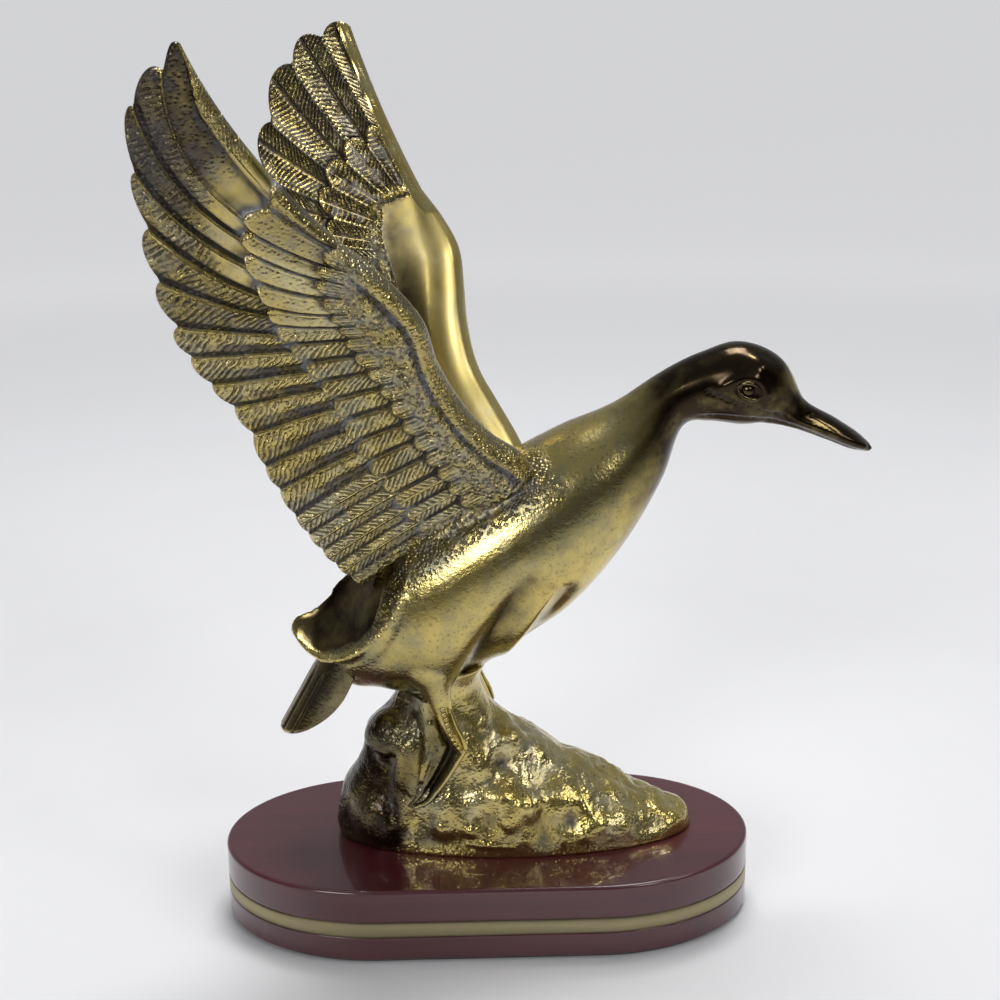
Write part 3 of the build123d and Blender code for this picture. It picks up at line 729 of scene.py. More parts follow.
def wing_surface(wing, sizes):
    """Grid over a wing. One way it counts feathers, the other runs along each one: from the leading edge to
    the feather's root, then along a curve of second degree to the round tip. Each side's height is the
    wing's thickness, round at the leading edge and thin at the tips, plus the relief of its feathers."""
    count = len(wing["tips"])
    per_feather, rim_rows, vane_rows = 13, 26, 184
    inside = (np.arange(count * per_feather) + 0.5) / per_feather
    u = np.concatenate([[0], inside, [count]])
    rim = 1 - np.cos(np.linspace(0, np.pi / 2, rim_rows, endpoint=False))
    t_run = np.concatenate([rim - 1, np.linspace(0, 1, vane_rows)])
    u, t = np.meshgrid(u, t_run, indexing="ij")
    feather = np.clip(np.floor(u), 0, count - 1).astype(int)
    f = u - feather

    def across(table):
        """A table's values at the feather borders, carried evenly from one border to the next."""
        table = np.asarray(table, float)
        share = f[..., None] if table.ndim > 1 else f
        return table[feather] * (1 - share) + table[feather + 1] * share

    roots, middles, notches = across(wing["roots"]), across(wing["middles"]), across(wing["notches"])
    axis = notches - middles
    axis /= np.linalg.norm(axis, axis=-1, keepdims=True)
    lobe = np.sin(np.pi * np.clip(f, 0, 1)) ** 0.7
    ends = notches + axis * (np.asarray(wing["tips"])[feather] * lobe)[..., None]
    s = np.clip(t, 0, 1)[..., None]
    vane = (1 - s) ** 2 * roots + 2 * s * (1 - s) * middles + s**2 * ends
    lead = np.asarray(wing["lead"], float)
    front = np.stack([spline(lead[:, 0], lead[:, 1], roots[..., 1]), roots[..., 1]], -1)
    share = np.clip(t + 1, 0, 1)[..., None]
    plan = np.where(t[..., None] < 0, front * (1 - share) + roots * share, vane)
    a, b = plan[..., 0], plan[..., 1]

    from_lead = nearest(plan, np.concatenate([plan[:, 0], plan[-1]]))
    from_tips = nearest(plan, plan[:, -1])
    full_length = np.linalg.norm(np.diff(plan[:, rim_rows:], axis=1), axis=-1).sum(1)[:, None]
    length = full_length * np.clip(t, 0, 1)
    arm = np.asarray(ARM, float)
    chord, thick = np.interp(b, arm[:, 0], arm[:, 1]), np.interp(b, arm[:, 0], arm[:, 2])
    state = {"u": u, "t": t, "f": f, "a": a, "b": b, "length": length, "from_lead": from_lead,
             "count": count, "feather": feather, "greater": across(wing["greater"]),
             "lesser": across(wing["lesser"])}
    edge = np.sqrt(1 - (1 - np.clip(from_tips / 0.9, 0, 1)) ** 2)
    root_edge = np.clip(u / 0.4, 0, 1)

    sides = []
    on_arm = 1 - ramp(b, 46, 62)
    for relief, full_chord, full_thick, fall in (
            (outer_relief(state, sizes), chord, thick * 0.9, 13.0),
            (inner_relief(state, sizes), chord + 3.6 * on_arm, thick + 0.6 * on_arm, 8.0)):
        nose = np.sqrt(1 - (1 - np.clip(from_lead / full_chord, 0, 1)) ** 2)
        behind = np.exp(-(np.clip(from_lead - full_chord, 0, None) / fall) ** 1.6)
        body = (0.75 + (full_thick - 0.75) * behind) * nose
        carved = relief["height"] * np.clip(from_lead / 1.5, 0, 1)
        height = np.maximum(body + carved, 0.25 * nose) * edge * root_edge
        height[border_of(u.shape)] = 0
        relief["hollow"] = np.clip((box_blur(carved, 3, 6) - carved) / 0.3, -1, 1)
        sides.append((height, relief))
    return plan, sides


def grit_on(w, pitch, seed):
    """Noise over a wing's plane."""
    place = np.stack([w["a"], w["b"], np.full(w["a"].shape, seed)], -1)
    return lumps(place.reshape(-1, 3), pitch, seed).reshape(w["a"].shape)


def outer_relief(w, sizes):
    """Outer face: flight feathers with a barbed ridge over a smooth channel, a row of coverts lapped like
    shingles that are barbed on the arm and bare on the hand, a row of small fans, stipple towards the arm
    and a rolled leading edge."""
    u, t, f, b, lead, along = w["u"], w["t"], w["f"], w["b"], w["from_lead"], w["length"]
    depth, pitch = sizes.feather_depth / MM, sizes.barb_pitch / MM
    feather, covert, fan = w["feather"], u + 0.5, u + 0.25
    m, g, p = np.abs(2 * f - 1), covert % 1, fan % 1
    mg, mp, mq = np.abs(2 * g - 1), np.abs(2 * p - 1), np.abs(2 * ((u + 0.75) % 1) - 1)
    hand, first = ramp(u, 11.2, 12.6), (feather == w["count"] - 1).astype(float)
    greater = w["greater"] + 0.05 * (1 - mg**2) - 0.02
    lesser = w["lesser"] + 0.04 * (1 - mp**2) - 0.015
    stippled = w["lesser"] - 0.11 + 0.04 * (1 - mq**2)
    on_flight, past_fans, past_grit = (ramp(t, row - 0.004, row + 0.006)
                                       for row in (greater, lesser, stippled))
    shares = (on_flight, past_fans * (1 - on_flight), past_grit * (1 - past_fans),
              1 - np.maximum(past_grit, past_fans))

    def zones(*values):
        """Sum of one value for each zone times the zone's share."""
        return sum(share * value for share, value in zip(shares, values))

    tipward = ramp(t, 0.66, 0.9)
    channel = np.sin(np.pi * np.clip(f / 0.52, 0, 1)) * (1 - tipward) * (1 - hand)
    ridge = np.sin(np.pi * np.clip((f - 0.38) / 0.62, 0, 1)) ** 0.8
    paired = feather < 5
    strip = 2.9 * ramp(t, 0.96, 0.70)
    web = ramp(lead, strip + 0.3, strip - 0.3) * ramp(b, 54, 60)
    root_gold = hand * ramp(t - greater, 0.26, 0.10) * ramp(u, 13.4, 14.2)
    ridged = 0.45 * ridge - 0.45 * channel + 0.3 * (f - 0.5)
    vane = np.where(paired, 0.4 * (1 - m**2), ridged) * (1 - hand)
    vane = vane + hand * (1 - first) * (0.7 * (f - 0.5) + 0.3 * bell(f - 0.93, 0.06))
    vane = vane + first * (0.35 * web - 0.25 * bell(lead - strip - 0.7, 0.6))
    rise = np.clip((t - lesser) / np.maximum(greater - lesser, 0.02), 0, 1)
    lapped = 0.75 * rise + (0.25 + 0.2 * hand) * (1 - mg**2) + 0.3 * (g - 0.5) * (1 - hand)
    fan_rise = np.clip((t - stippled) / 0.11, 0, 1)
    grit, ripple = grit_on(w, 0.85, 4.0), grit_on(w, 2.2, 6.0)
    height = zones(vane, lapped, 0.8 + 0.4 * fan_rise * (1 - mp**2), 0.85 + 0.2 * grit) + 0.13 * ripple

    jitter = 0.37 * feather
    slanted = along / pitch + 4.6 * f
    barb = np.where(paired, along / pitch - 2.0 * m, slanted) + jitter + 0.35 * ripple
    barb = np.where(first > 0, (along - 1.2 * np.abs(strip - lead)) / pitch, barb)
    low = np.floor(covert) < 4
    covert_barb = np.where(low, along / pitch - 1.8 * mg, along / pitch + 4.2 * g)
    covert_barb = covert_barb + 0.41 * np.floor(covert) + 0.25 * ripple
    faint = 1 - 0.3 * ramp(u, 12.5, 14.5)
    vane_across = np.where(first > 0, np.abs(lead - strip) / 4.0, np.where(paired, m, 1 - f))
    vane_barbed = np.where(first > 0, web, faint * (1 - 0.95 * channel)) * (1 - root_gold)
    layers = {
        "barb": zones(barb, covert_barb, 5.0 * p, 0.0),
        "across": zones(vane_across, np.where(low, mg, 1 - g), mp, 0.5),
        "barbed": zones(vane_barbed, 1 - hand, ramp(fan_rise, 0.05, 0.3), 0.0),
        "quill": zones(np.where(first > 0, 0.8, 0.75), 0.85 - 0.6 * hand, 0.0, 0.0),
        "seam": zones(np.where(first > 0, 0.0, 0.9), 1.0, 0.9, 0.0),
    }

    rim_on = ramp(b, -6, 0) * (1 - ramp(b, 48, 56))
    rim = ramp(lead, 3.8, 2.8) * rim_on
    root = ramp(b, -1.0, -5.0)
    height = height * (1 - rim) + rim * 1.15 - 0.5 * bell(lead - 4.0, 0.7) * rim_on
    height = height * (1 - root) + root * (0.5 + 0.2 * grit)
    plain = (1 - rim) * (1 - root)
    for name in ("barbed", "quill", "seam"):
        layers[name] = layers[name] * plain
    inner_web = first * (1 - web) * on_flight
    dark_tip = (feather >= w["count"] - 3) * (1 - first) * ramp(t, 0.4, 0.75)
    gleam = 0.45 * channel + 0.3 * ridge * (1 - channel) + 0.5 * root_gold + 0.45 * inner_web
    layers["polish"] = 0.14 + plain * zones(gleam, 0.5 * hand, 0.0, 0.0) + 0.3 * rim
    stain = (0.62 * channel + 0.42 * hand * (1 - root_gold) + 0.4 * inner_web * ramp(t, 0.45, 0.62)
             + 0.35 * dark_tip + 0.07)
    panel = 0.14 + (0.16 * grit_on(w, 7.0, 12.0) + 0.3 * ramp(u, 15.6, 16.4)) * hand
    layers["brown"] = np.clip(plain * zones(stain, panel, 0.26, 0.44) + 0.42 * rim + 0.5 * root, 0, 1)
    dusty = zones(0.2, 0.16 + 0.7 * hand * bell(mg - 0.97, 0.08), 0.5, 0.45)
    layers["chalk"] = np.clip(plain * (1.1 * bell(t - greater, 0.022) + dusty), 0, 1)
    punched = zones(0.3 * (1 - root_gold), 0.2, 0.4, 1.0)
    layers["stipple"] = np.clip(plain * punched + 0.35 * rim + root, 0, 1)
    layers["height"] = height * depth
    return layers


def inner_relief(w, sizes):
    """Inner face: broad barbed feathers with a groove along each quill, a row of short round coverts over
    them, a knobbly band, then the bare polished arm that runs up into the bright leading strip."""
    u, t, f, a, b, lead, along = w["u"], w["t"], w["f"], w["a"], w["b"], w["from_lead"], w["length"]
    depth, pitch = sizes.feather_depth / MM, sizes.barb_pitch / MM
    g = (u + 0.5) % 1
    m, mg = np.abs(2 * f - 1), np.abs(2 * g - 1)
    greater = w["greater"] + 0.075 * (1 - mg**2) - 0.04
    on_flight = ramp(t, greater - 0.004, greater + 0.006)
    rise = np.clip(t / np.maximum(greater, 0.05), 0, 1)
    edge = np.interp(b, [40, 53, 56.2, 60], [15.6, 15.7, 14.5, 13.4])
    strip = ramp(lead, 3.0, 2.3) * ramp(b, 54, 58)
    bare = np.maximum(ramp(a - edge, 0.7, -0.7) * ramp(b, 60.6, 59.4), strip)
    knobby = np.maximum(bell(a - edge - 1.2, 1.6) * ramp(b, 38, 46) * ramp(b, 62, 60),
                        bell(b - 61.2, 1.6) * ramp(a, 15.0, 13.0))
    knobby = knobby * (1 - bare)
    ripple = grit_on(w, 2.0, 16.0)
    vane = 0.3 * (1 - m**2) + 0.4 * (0.5 - f)
    lapped = 0.95 * rise + 0.4 * (1 - mg**2)
    height = vane * on_flight + lapped * (1 - on_flight) + 0.1 * ripple
    height = height * (1 - knobby) + knobby * (0.8 + 0.75 * grit_on(w, 1.7, 9.0))
    height = height * (1 - bare) + bare * (0.6 + 0.16 * np.sin(b / 1.3) * strip * ramp(b, 72, 82))
    open_vane = (1 - bare) * (1 - knobby)
    flight_barb = along / (0.95 * pitch) - 2.6 * m + 0.37 * w["feather"] + 0.25 * ripple
    covert_barb = along / (0.85 * pitch) - 2.2 * mg + 0.41 * np.floor(u + 0.5)
    copper = bare * (1 - strip) * ramp(a - edge, -8.5, -2.0)
    rim_light = bell(m - 0.96, 0.05) * on_flight + bell(mg - 0.95, 0.06) * (1 - on_flight)
    stain = 0.72 + 0.16 * (1 - on_flight) - 0.45 * rim_light
    return {
        "height": height * depth,
        "barb": flight_barb * on_flight + covert_barb * (1 - on_flight),
        "across": m * on_flight + mg * (1 - on_flight),
        "barbed": open_vane * (0.45 + 0.55 * on_flight),
        "quill": -0.85 * open_vane,
        "seam": -0.5 * open_vane,
        "polish": 0.2 + 0.25 * open_vane + 0.8 * bare - 0.2 * strip,
        "brown": np.clip(open_vane * stain + 0.75 * copper + 0.42 * knobby, 0, 1),
        "chalk": 0.05 * open_vane + 0.15 * knobby,
        "stipple": 0.05 * open_vane + 0.3 * knobby,
    }


def wing_mesh(name, wing, sizes):
    """Both faces of a wing as one closed mesh that shares its border points."""
    plan, sides = wing_surface(wing, sizes)
    (outer, outer_layers), (inner, inner_layers) = sides
    a, b = plan[..., 0], plan[..., 1]
    skins = [on_wing(wing, a, b, wing["side"] * outer), on_wing(wing, a, b, -wing["side"] * inner)]
    layers = {n: (outer_layers[n], inner_layers[n]) for n in outer_layers if n != "height"}
    return skins_mesh(name, skins, layers)


# Body

# Stations of trunk and bill as x, rise over the seat, tilt, half height and half width

TRUNK = [(-33.5, 10.6, 8, 4.6, 5.0), (-31.2, 11.2, 10, 9.0, 9.0), (-25.5, 12.6, 15, 13.9, 12.6),
         (-15.0, 15.4, 20, 17.6, 16.2), (-2.0, 24.2, 22, 18.0, 17.4), (12.5, 34.2, 24, 17.2, 16.8),
         (23.5, 43.7, 29, 14.0, 14.2), (33.0, 53.0, 33, 9.3, 9.6), (40.3, 61.9, 26, 5.9, 6.3),
         (46.5, 64.0, 6, 7.2, 6.6), (54.0, 64.6, 0, 8.6, 7.6), (61.0, 62.8, -14, 6.6, 6.2),
         (65.0, 59.4, -25, 3.4, 4.0)]
BILL = [(59.5, 61.2, -22, 5.4, 5.0), (63.4, 59.4, -26, 4.2, 4.3), (66.6, 57.5, -28, 3.1, 4.2),
        (73.0, 54.4, -30, 2.4, 4.3), (78.6, 51.4, -34, 1.6, 3.6), (81.2, 50.1, -36, 0.7, 1.8)]

# Upper tail as x, height of the ridge, height of the rim, half width and thickness, then the edge of its
# brown dish as x and z

TAIL = [(-41.0, 67.4, 66.6, 1.6, 0.6), (-40.2, 68.8, 66.2, 3.6, 0.9), (-38.5, 69.6, 64.9, 6.2, 1.3),
        (-36.0, 70.8, 63.6, 8.4, 1.7), (-33.5, 73.0, 63.2, 9.9, 2.2), (-31.0, 76.2, 63.5, 11.0, 2.8),
        (-28.0, 79.6, 64.6, 12.2, 3.6), (-24.5, 81.5, 66.8, 13.3, 4.6), (-21.5, 82.5, 69.3, 14.1, 5.4),
        (-18.5, 83.5, 73.6, 14.6, 6.0), (-16.5, 84.5, 78.0, 14.8, 6.2), (-14.5, 87.0, 84.0, 15.0, 6.4)]
DISH_EDGE = [(-41.0, 66.8), (-38.5, 65.2), (-36.0, 64.0), (-33.5, 63.7), (-30.2, 65.0), (-25.8, 67.5),
             (-23.2, 70.6), (-21.8, 74.2), (-20.3, 78.7), (-18.5, 82.7), (-17.5, 90.0)]

# Thigh as rise over the seat, distance forward of the knee, y, half length and half width, then the knees as
# x and side, and the left eye: its middle, its radii, how deep it sinks in, and its lids' radius from end to
# end and distance out from the skin

THIGH = [(16.0, -6.2, 8.4, 9.2, 6.4), (13.0, -5.4, 8.8, 8.2, 6.0), (6.0, -2.6, 9.8, 5.4, 4.6),
         (1.5, -0.9, 10.0, 3.4, 3.2), (-3.5, 0.4, 10.1, 2.2, 2.2), (-7.0, 1.6, 10.6, 1.4, 1.4)]
KNEES = ((-9.3, -1), (-3.3, 1))
EYE = (54.4, 6.9, SEAT + 64.8)
EYE_RADII = (1.45, 1.3, 1.4)
EYE_SINK = 0.25
LID_RADII = [0.1, 0.4, 0.48, 0.4, 0.1]
LID_LIFT = 0.08

# Eye socket: its middle as x and z, cosine and sine of its slope, half length and half height

SOCKET_MIDDLE = (54.7, 118.6)
SOCKET_COS, SOCKET_SIN = 0.953, 0.302
SOCKET_HALF_LENGTH, SOCKET_HALF_HEIGHT = 2.7, 1.5

# Places relaxed into a fillet, as x, z and reach, and the ball that fills the corner under the rump

FILLETS = ((64.6, 115.4, 4.2), (-9.0, 57.0, 5.0), (-28.5, 79.0, 5.0), (-20.0, 75.0, 6.0), (-25.0, 55.5, 5.0))
RUMP_CENTRE, RUMP_RADII = (-25.8, 0.0, 58.0), (5.6, 7.5, 5.0)

# Round marks on the head as x, z and reach: the swelling over the eye and a painted highlight on the
# brow over the bill, then the nostril's middle, its stretch along x and z, and its reach

BROW_SWELLING = (56.8, 122.8, 2.4)
PAINTED_BROW_HIGHLIGHT = (62.6, 119.6, 2.6)
NOSTRIL_MIDDLE, NOSTRIL_STRETCH, NOSTRIL_REACH = (68.2, 112.5), (1.5, 0.6), 0.7

# Swelling under each wing: distance back, place along the span and radius

WING_SEAT = [(2.0, -6.5, 4.2), (14.0, -7.0, 4.6), (27.0, -8.0, 4.2), (38.0, -8.5, 2.6)]

# Lines on the body's profile, as x and z

CHEEK_CREASE = [(46.6, 118.6), (51.5, 116.4), (55.0, 115.1), (59.6, 113.2), (62.0, 112.8)]
BILL_SEAM = [(44.0, 113.0), (54.0, 112.4), (60.5, 111.2), (66.0, 109.2), (73.0, 106.2), (78.4, 104.0),
             (81.0, 103.0)]
BROW = [(49.6, 119.7), (51.8, 120.9), (54.4, 121.3), (56.8, 120.2), (58.2, 117.8)]
BILL_EDGE = [(60.2, 115.0), (61.8, 113.7), (64.3, 111.9), (70.0, 109.4), (75.8, 107.0), (79.6, 105.2)]
TAIL_BAND = [(-34.0, 62.6), (-29.5, 63.9), (-26.2, 66.0), (-22.3, 69.1), (-18.7, 73.6), (-16.5, 78.0)]
UPPER_LID = [(52.0, 119.5), (53.2, 120.3), (54.8, 120.4), (56.4, 119.4), (57.5, 117.7)]
LOWER_LID = [(52.0, 119.5), (52.9, 118.0), (54.5, 117.0), (56.1, 116.9), (57.5, 117.7)]

# Furrow in front of the right thigh as x and z, and the steps to the fold and to the furrow beside it

THIGH_FURROW = np.array([(9.6, 82.0), (7.0, 78.2), (4.3, 73.3), (1.3, 68.0), (-1.3, 61.8), (-3.1, 56.8)])
FOLD_STEP, SECOND_STEP = (4.6, -2.3), (8.0, -4.0)


def tail_hollow(x):
    """Power of the tail's cross profile: a deep hollow near its end that flattens out towards the rump."""
    return 1.6 - 1.1 * ramp(x, -34.0, -20.0)


def tail_at(x):
    """Ridge height, rim height, half width and thickness of the tail at places along the body."""
    table = np.asarray(TAIL, float)
    return [spline(table[:, 0], column, np.clip(x, table[0, 0], table[-1, 0])) for column in table[:, 1:].T]


def tail_shell():
    """Dished tail: at each place a hollow roof that falls from the ridge and flares to the rim, over a round
    underside."""
    x = np.linspace(TAIL[0][0], -18.5, 80)
    ridge, rim, half_width, thick = (column[:, None] for column in tail_at(x))
    across = np.cos(np.linspace(0, np.pi, 61))[None]
    top = rim + (ridge - rim) * (1 - np.abs(across) ** (1 / tail_hollow(x)[:, None]))
    below = np.cos(np.linspace(np.pi, 2 * np.pi, 61))[None, 1:-1]
    low = rim - thick * np.sqrt(1 - below**2)
    y = np.concatenate([half_width * across, half_width * below], 1)
    z = np.concatenate([top, low], 1)
    rings = np.stack([np.broadcast_to(x[:, None], y.shape), y, z], -1)
    return capped(rings, rings[[0, -1]].mean(1))


def dished(points):
    """The points drawn in to the hollow faces of the tail wherever they stand out of them above its rim,
    less and less towards the rump."""
    x, y, z = points.T
    ridge, rim, half_width = tail_at(x)[:3]
    share = np.clip((z - rim) / (ridge - rim), 0, 1)
    limit = half_width * (1 - share) ** tail_hollow(x) + 60 * ramp(rim - z, 0.0, 0.6)
    rump = ramp(x, -29.0, -16.5)
    return np.stack([x, np.clip(y, -limit, limit) * (1 - rump) + y * rump, z], -1)


def spot(x, z, middle_x, middle_z, reach):
    """Bell round a point of the profile."""
    return bell(np.hypot(x - middle_x, z - middle_z), reach)


def distance_to_path(points, path):
    """Distance from each point to a smooth path through a few points."""
    path = np.asarray(path, float)
    at = run_length(path)
    fine = spline(at, path, np.linspace(0, at[-1], 60))
    best = np.full(len(points), 1e9)
    for place in fine:
        best = np.minimum(best, ((points - place) ** 2).sum(1))
    return np.sqrt(best)


def body_mesh(name, sizes):
    """Skin over the trunk, head, bill, dished tail and thighs, relaxed into fillets at a few places, then
    moved along its normals for the face and the furrows in front of the thighs."""
    trunk, trunk_faces = station_tube(TRUNK)
    shells = [(dished(trunk), trunk_faces), station_tube(BILL, 40, 60), tail_shell(),
              ball(RUMP_CENTRE, RUMP_RADII)]
    shells += [level_tube(THIGH, (knee_x, 0.0, SEAT), 40, 40, side) for knee_x, side in KNEES]
    seat_back, seat_span, seat_radius = np.transpose(WING_SEAT)
    shells += [cord_tube(on_wing(wing, seat_back, seat_span), seat_radius, 24, 60)
               for wing in WINGS.values()]
    mesh = fused(name, shells, sizes.skin_voxel / MM, 14)
    points = points_of(mesh)
    soft = relaxed(points, edges_of(mesh), 90, 0.5, 0)
    x, y, z = points.T
    blend = sum(spot(x, z, *fillet) for fillet in FILLETS)
    blend = np.clip(blend, 0, 1)[:, None]
    points = points * (1 - blend) + soft * blend
    move_points(mesh, points)
    normals = normals_of(mesh)
    x, y, z = points.T
    side, profile = np.abs(y), points[:, [0, 2]]

    def line(path, width):
        """Bell of the given half width across a path on the profile."""
        return bell(distance_to_path(profile, path), width)

    cheek = ramp(side, 3.0, 5.0) * ramp(x, 43, 46)
    jaw = ramp(side, 1.6, 3.0)
    bill_side = jaw * ramp(x, 58, 62)
    grit = lumps(points, 0.8, 31.0)
    dx, dz = x - SOCKET_MIDDLE[0], z - SOCKET_MIDDLE[1]
    p, q = SOCKET_COS * dx - SOCKET_SIN * dz, SOCKET_SIN * dx + SOCKET_COS * dz
    socket = np.sqrt((p / SOCKET_HALF_LENGTH) ** 2 + (q / SOCKET_HALF_HEIGHT) ** 2)
    crease = line(CHEEK_CREASE, 0.6) * cheek
    seam = line(BILL_SEAM, 0.45) * jaw * ramp(x, 43, 48)
    moved = -0.55 * ramp(socket, 1.25, 0.6) * cheek - (0.4 - 0.2 * grit) * crease - 0.45 * seam
    moved += 0.45 * line(BROW, 0.75) * cheek
    moved += 0.75 * spot(x, z, *BROW_SWELLING) * cheek
    moved += 0.4 * line(BILL_EDGE, 0.55) * bill_side
    nostril = np.hypot(*((profile - NOSTRIL_MIDDLE) / NOSTRIL_STRETCH).T)
    moved -= 0.3 * bell(nostril, NOSTRIL_REACH) * bill_side
    # Furrows in front of the thighs, which get painted shade in the brown layer
    furrow = np.zeros(len(points))
    for knee_x, hand in KNEES:
        near = ramp(hand * y, 2, 6) * ramp(z, 92, 74)
        path = THIGH_FURROW + (knee_x - KNEES[0][0], 0)
        front = line(path, 2.8) * near
        back = line(path + SECOND_STEP, 1.8) * near
        moved += 0.8 * near * line(path + FOLD_STEP, 1.2) - 1.7 * front - 0.7 * back
        furrow += front + 0.8 * back
    band = line(TAIL_BAND, 0.85) * ramp(side, 4, 7)
    moved += 0.3 * band
    points = points + normals * moved[:, None]
    move_points(mesh, points)

    hollow = hollows_of(mesh, 30, 0.4)
    head = ramp(x, 24, 42)
    above_dish = z - np.interp(x, *np.transpose(DISH_EDGE)) - 0.3 * grit * ramp(x, -28, -22)
    dish = ramp(x + 0.7 * grit, -16.4, -18.8) * ramp(above_dish, 0.0, 0.6)
    lip = dish * ramp(x, -35.0, -37.5)
    above_rim = z - tail_at(x)[1]
    scoured = (1 - dish) * ramp(x, -14.5, -17.0) * ramp(above_rim, 0.3, 1.2)
    valley = ramp(x, -15.0, -18.0) * bell(above_rim + 3.6, 1.1) * ramp(x, -33, -28)
    root = np.zeros(len(points))
    for wing in WINGS.values():
        origin, back, span, square = wing_axes(wing)
        place = points - origin
        a, b, h = place @ back, place @ span, place @ square
        root = np.maximum(root, ramp(b, -11.0, -8.0) * ramp(np.abs(h), 9.0, 5.5) * ramp(a, -5, -2))
    root = root * (1 - dish)
    low = ramp(z, 76, 64) * (1 - head) * (1 - dish) * (1 - band)
    tint = lumps(points, 11.0, 21.0)
    ridges = hollow * (1 - 0.95 * head) * (1 - 0.6 * dish)
    hollow = np.where(hollow < 0, ridges, hollow * (1 - 0.6 * dish)) + 0.8 * seam
    # Dark brown stain on the head, partly a painted reflection of the dark room, with a painted highlight on
    # the brow over the bill
    head_brown_with_painted_light = head * (1 - 0.14 * ramp(x, 60, 66) - 0.45 * spot(x, z, *PAINTED_BROW_HIGHLIGHT))
    # The dish's dark brown is stain and partly a painted dark reflection
    brown = (1.05 * head_brown_with_painted_light + (0.9 + 0.1 * tint - 0.14 * lip) * dish + 0.56 * root + 0.62 * furrow
             # The brown over the furrows is painted shade
             + 0.4 * valley)
    brown = np.clip(brown + 0.5 * scoured + 0.06 + 0.05 * tint, 0, 1) * (1 - 0.8 * band)
    polish = 0.45 + 0.49 * head + 0.3 * dish - 0.3 * lip - 0.38 * root - 0.04 * low - 0.3 * band
    polish = np.clip(polish - 0.5 * crease + 0.2 * furrow, 0, 1)
    stipple = root + 0.9 * crease + 0.1 * low + 0.5 * band + 0.5 * valley + 0.7 * scoured
    paint(mesh, hollow=hollow, polish=polish, brown=brown, chalk=0.3 * root + 0.15 * crease + 0.4 * band,
          stipple=np.clip(stipple, 0, 1))
    smooth_faces(mesh)
    return mesh


def eye_mesh(name, skin):
    """Eye beads, each between two lids that lie on the skin of the head."""
    shells = []
    for side in (-1, 1):
        near = skin[(skin[:, 0] > 45) & (skin[:, 1] * side > 3)]
        shells.append(ball((EYE[0], side * (EYE[1] - EYE_SINK), EYE[2]), EYE_RADII, 28, 16))
        for lid in np.array([UPPER_LID, LOWER_LID]):
            out = np.abs(near[((near[None, :, [0, 2]] - lid[:, None]) ** 2).sum(-1).argmin(1), 1])
            path = np.stack([lid[:, 0], side * (out + LID_LIFT), lid[:, 1]], -1)
            shells.append(cord_tube(path, LID_RADII, 14, 50))
    mesh = new_mesh(name, *joined(shells))
    size = len(mesh.vertices)
    paint(mesh, hollow=np.zeros(size), polish=np.full(size, 0.95), brown=np.full(size, 0.9),
          chalk=np.zeros(size), stipple=np.zeros(size))
    smooth_faces(mesh)
    return mesh


# Rock

# Level ellipses as rise over the plinth, x, y, half length and half depth, then boulders as centre over the
# plinth and radii

ROCK = [(-0.4, 6.2, 1.2, 38.6, 14.6), (1.2, 6.2, 1.2, 39.2, 15.0), (4.7, 5.1, 1.2, 37.9, 14.8),
        (11.7, -0.7, 1.2, 30.8, 13.6), (19.7, -5.5, 1.0, 21.4, 12.2), (25.7, -9.5, 1.0, 16.2, 10.8),
        (31.2, -9.7, 0.8, 10.8, 9.3), (36.7, -9.5, 0.5, 8.5, 8.4), (40.5, -9.0, 0.5, 9.4, 9.0)]
BOULDERS = [((-19.4, -3.5, 25.0), (6.5, 6.5, 6.3)), ((-21.0, -2.0, 6.0), (9.5, 9.0, 9.5)),
            ((6.0, -5.5, 9.5), (8.6, 8.6, 8.6)), ((21.0, -4.0, 4.0), (9.0, 9.0, 8.0)),
            ((-2.0, 5.0, 12.0), (9.8, 9.8, 9.8)), ((30.0, 4.5, 2.0), (9.0, 9.0, 8.0)),
            ((-15.6, -3.4, 20.5), (6.4, 8.0, 12.5))]

# Marks on the rock's front: round ones as x, z, radius and height, then folds as a path, half width and
# height

DENTS = [(3.9, 38.0, 2.8, -2.8), (5.8, 42.2, 2.4, 1.5), (0.8, 34.4, 2.0, -1.1), (2.6, 31.5, 2.6, 0.9),
         (-25.2, 39.0, 1.5, -1.2), (-9.9, 23.9, 2.0, 1.1), (-3.8, 23.9, 1.5, 1.2), (-2.6, 25.4, 1.2, -0.8),
         (12.0, 30.0, 3.0, 0.9), (18.0, 24.5, 2.6, -1.0), (27.0, 22.5, 3.0, 0.8)]
FOLDS = [([(-17.6, 43.0), (-18.4, 37.0), (-18.8, 31.0), (-18.6, 25.0)], 1.6, 0.35),
         ([(-14.0, 47.5), (-15.4, 43.0), (-15.2, 38.0), (-15.8, 32.5)], 1.5, 0.4),
         ([(-19.8, 39.0), (-20.4, 33.0), (-20.6, 26.0)], 1.2, -0.5),
         ([(-16.4, 42.0), (-16.9, 37.0), (-17.6, 31.0)], 0.9, -0.35),
         ([(-12.6, 44.0), (-13.6, 39.0), (-13.4, 34.5)], 0.8, -0.4),
         ([(-4.6, 20.9), (0.4, 20.6), (5.4, 20.2)], 0.6, 0.5),
         ([(-27.0, 41.2), (-25.2, 39.6), (-22.4, 38.6), (-20.4, 39.2)], 0.7, -0.6)]


def marks_on(profile, folds):
    """Sum over folds of the height times a bell across the fold's path."""
    return sum(height * bell(distance_to_path(profile, path), width) for path, width, height in folds)


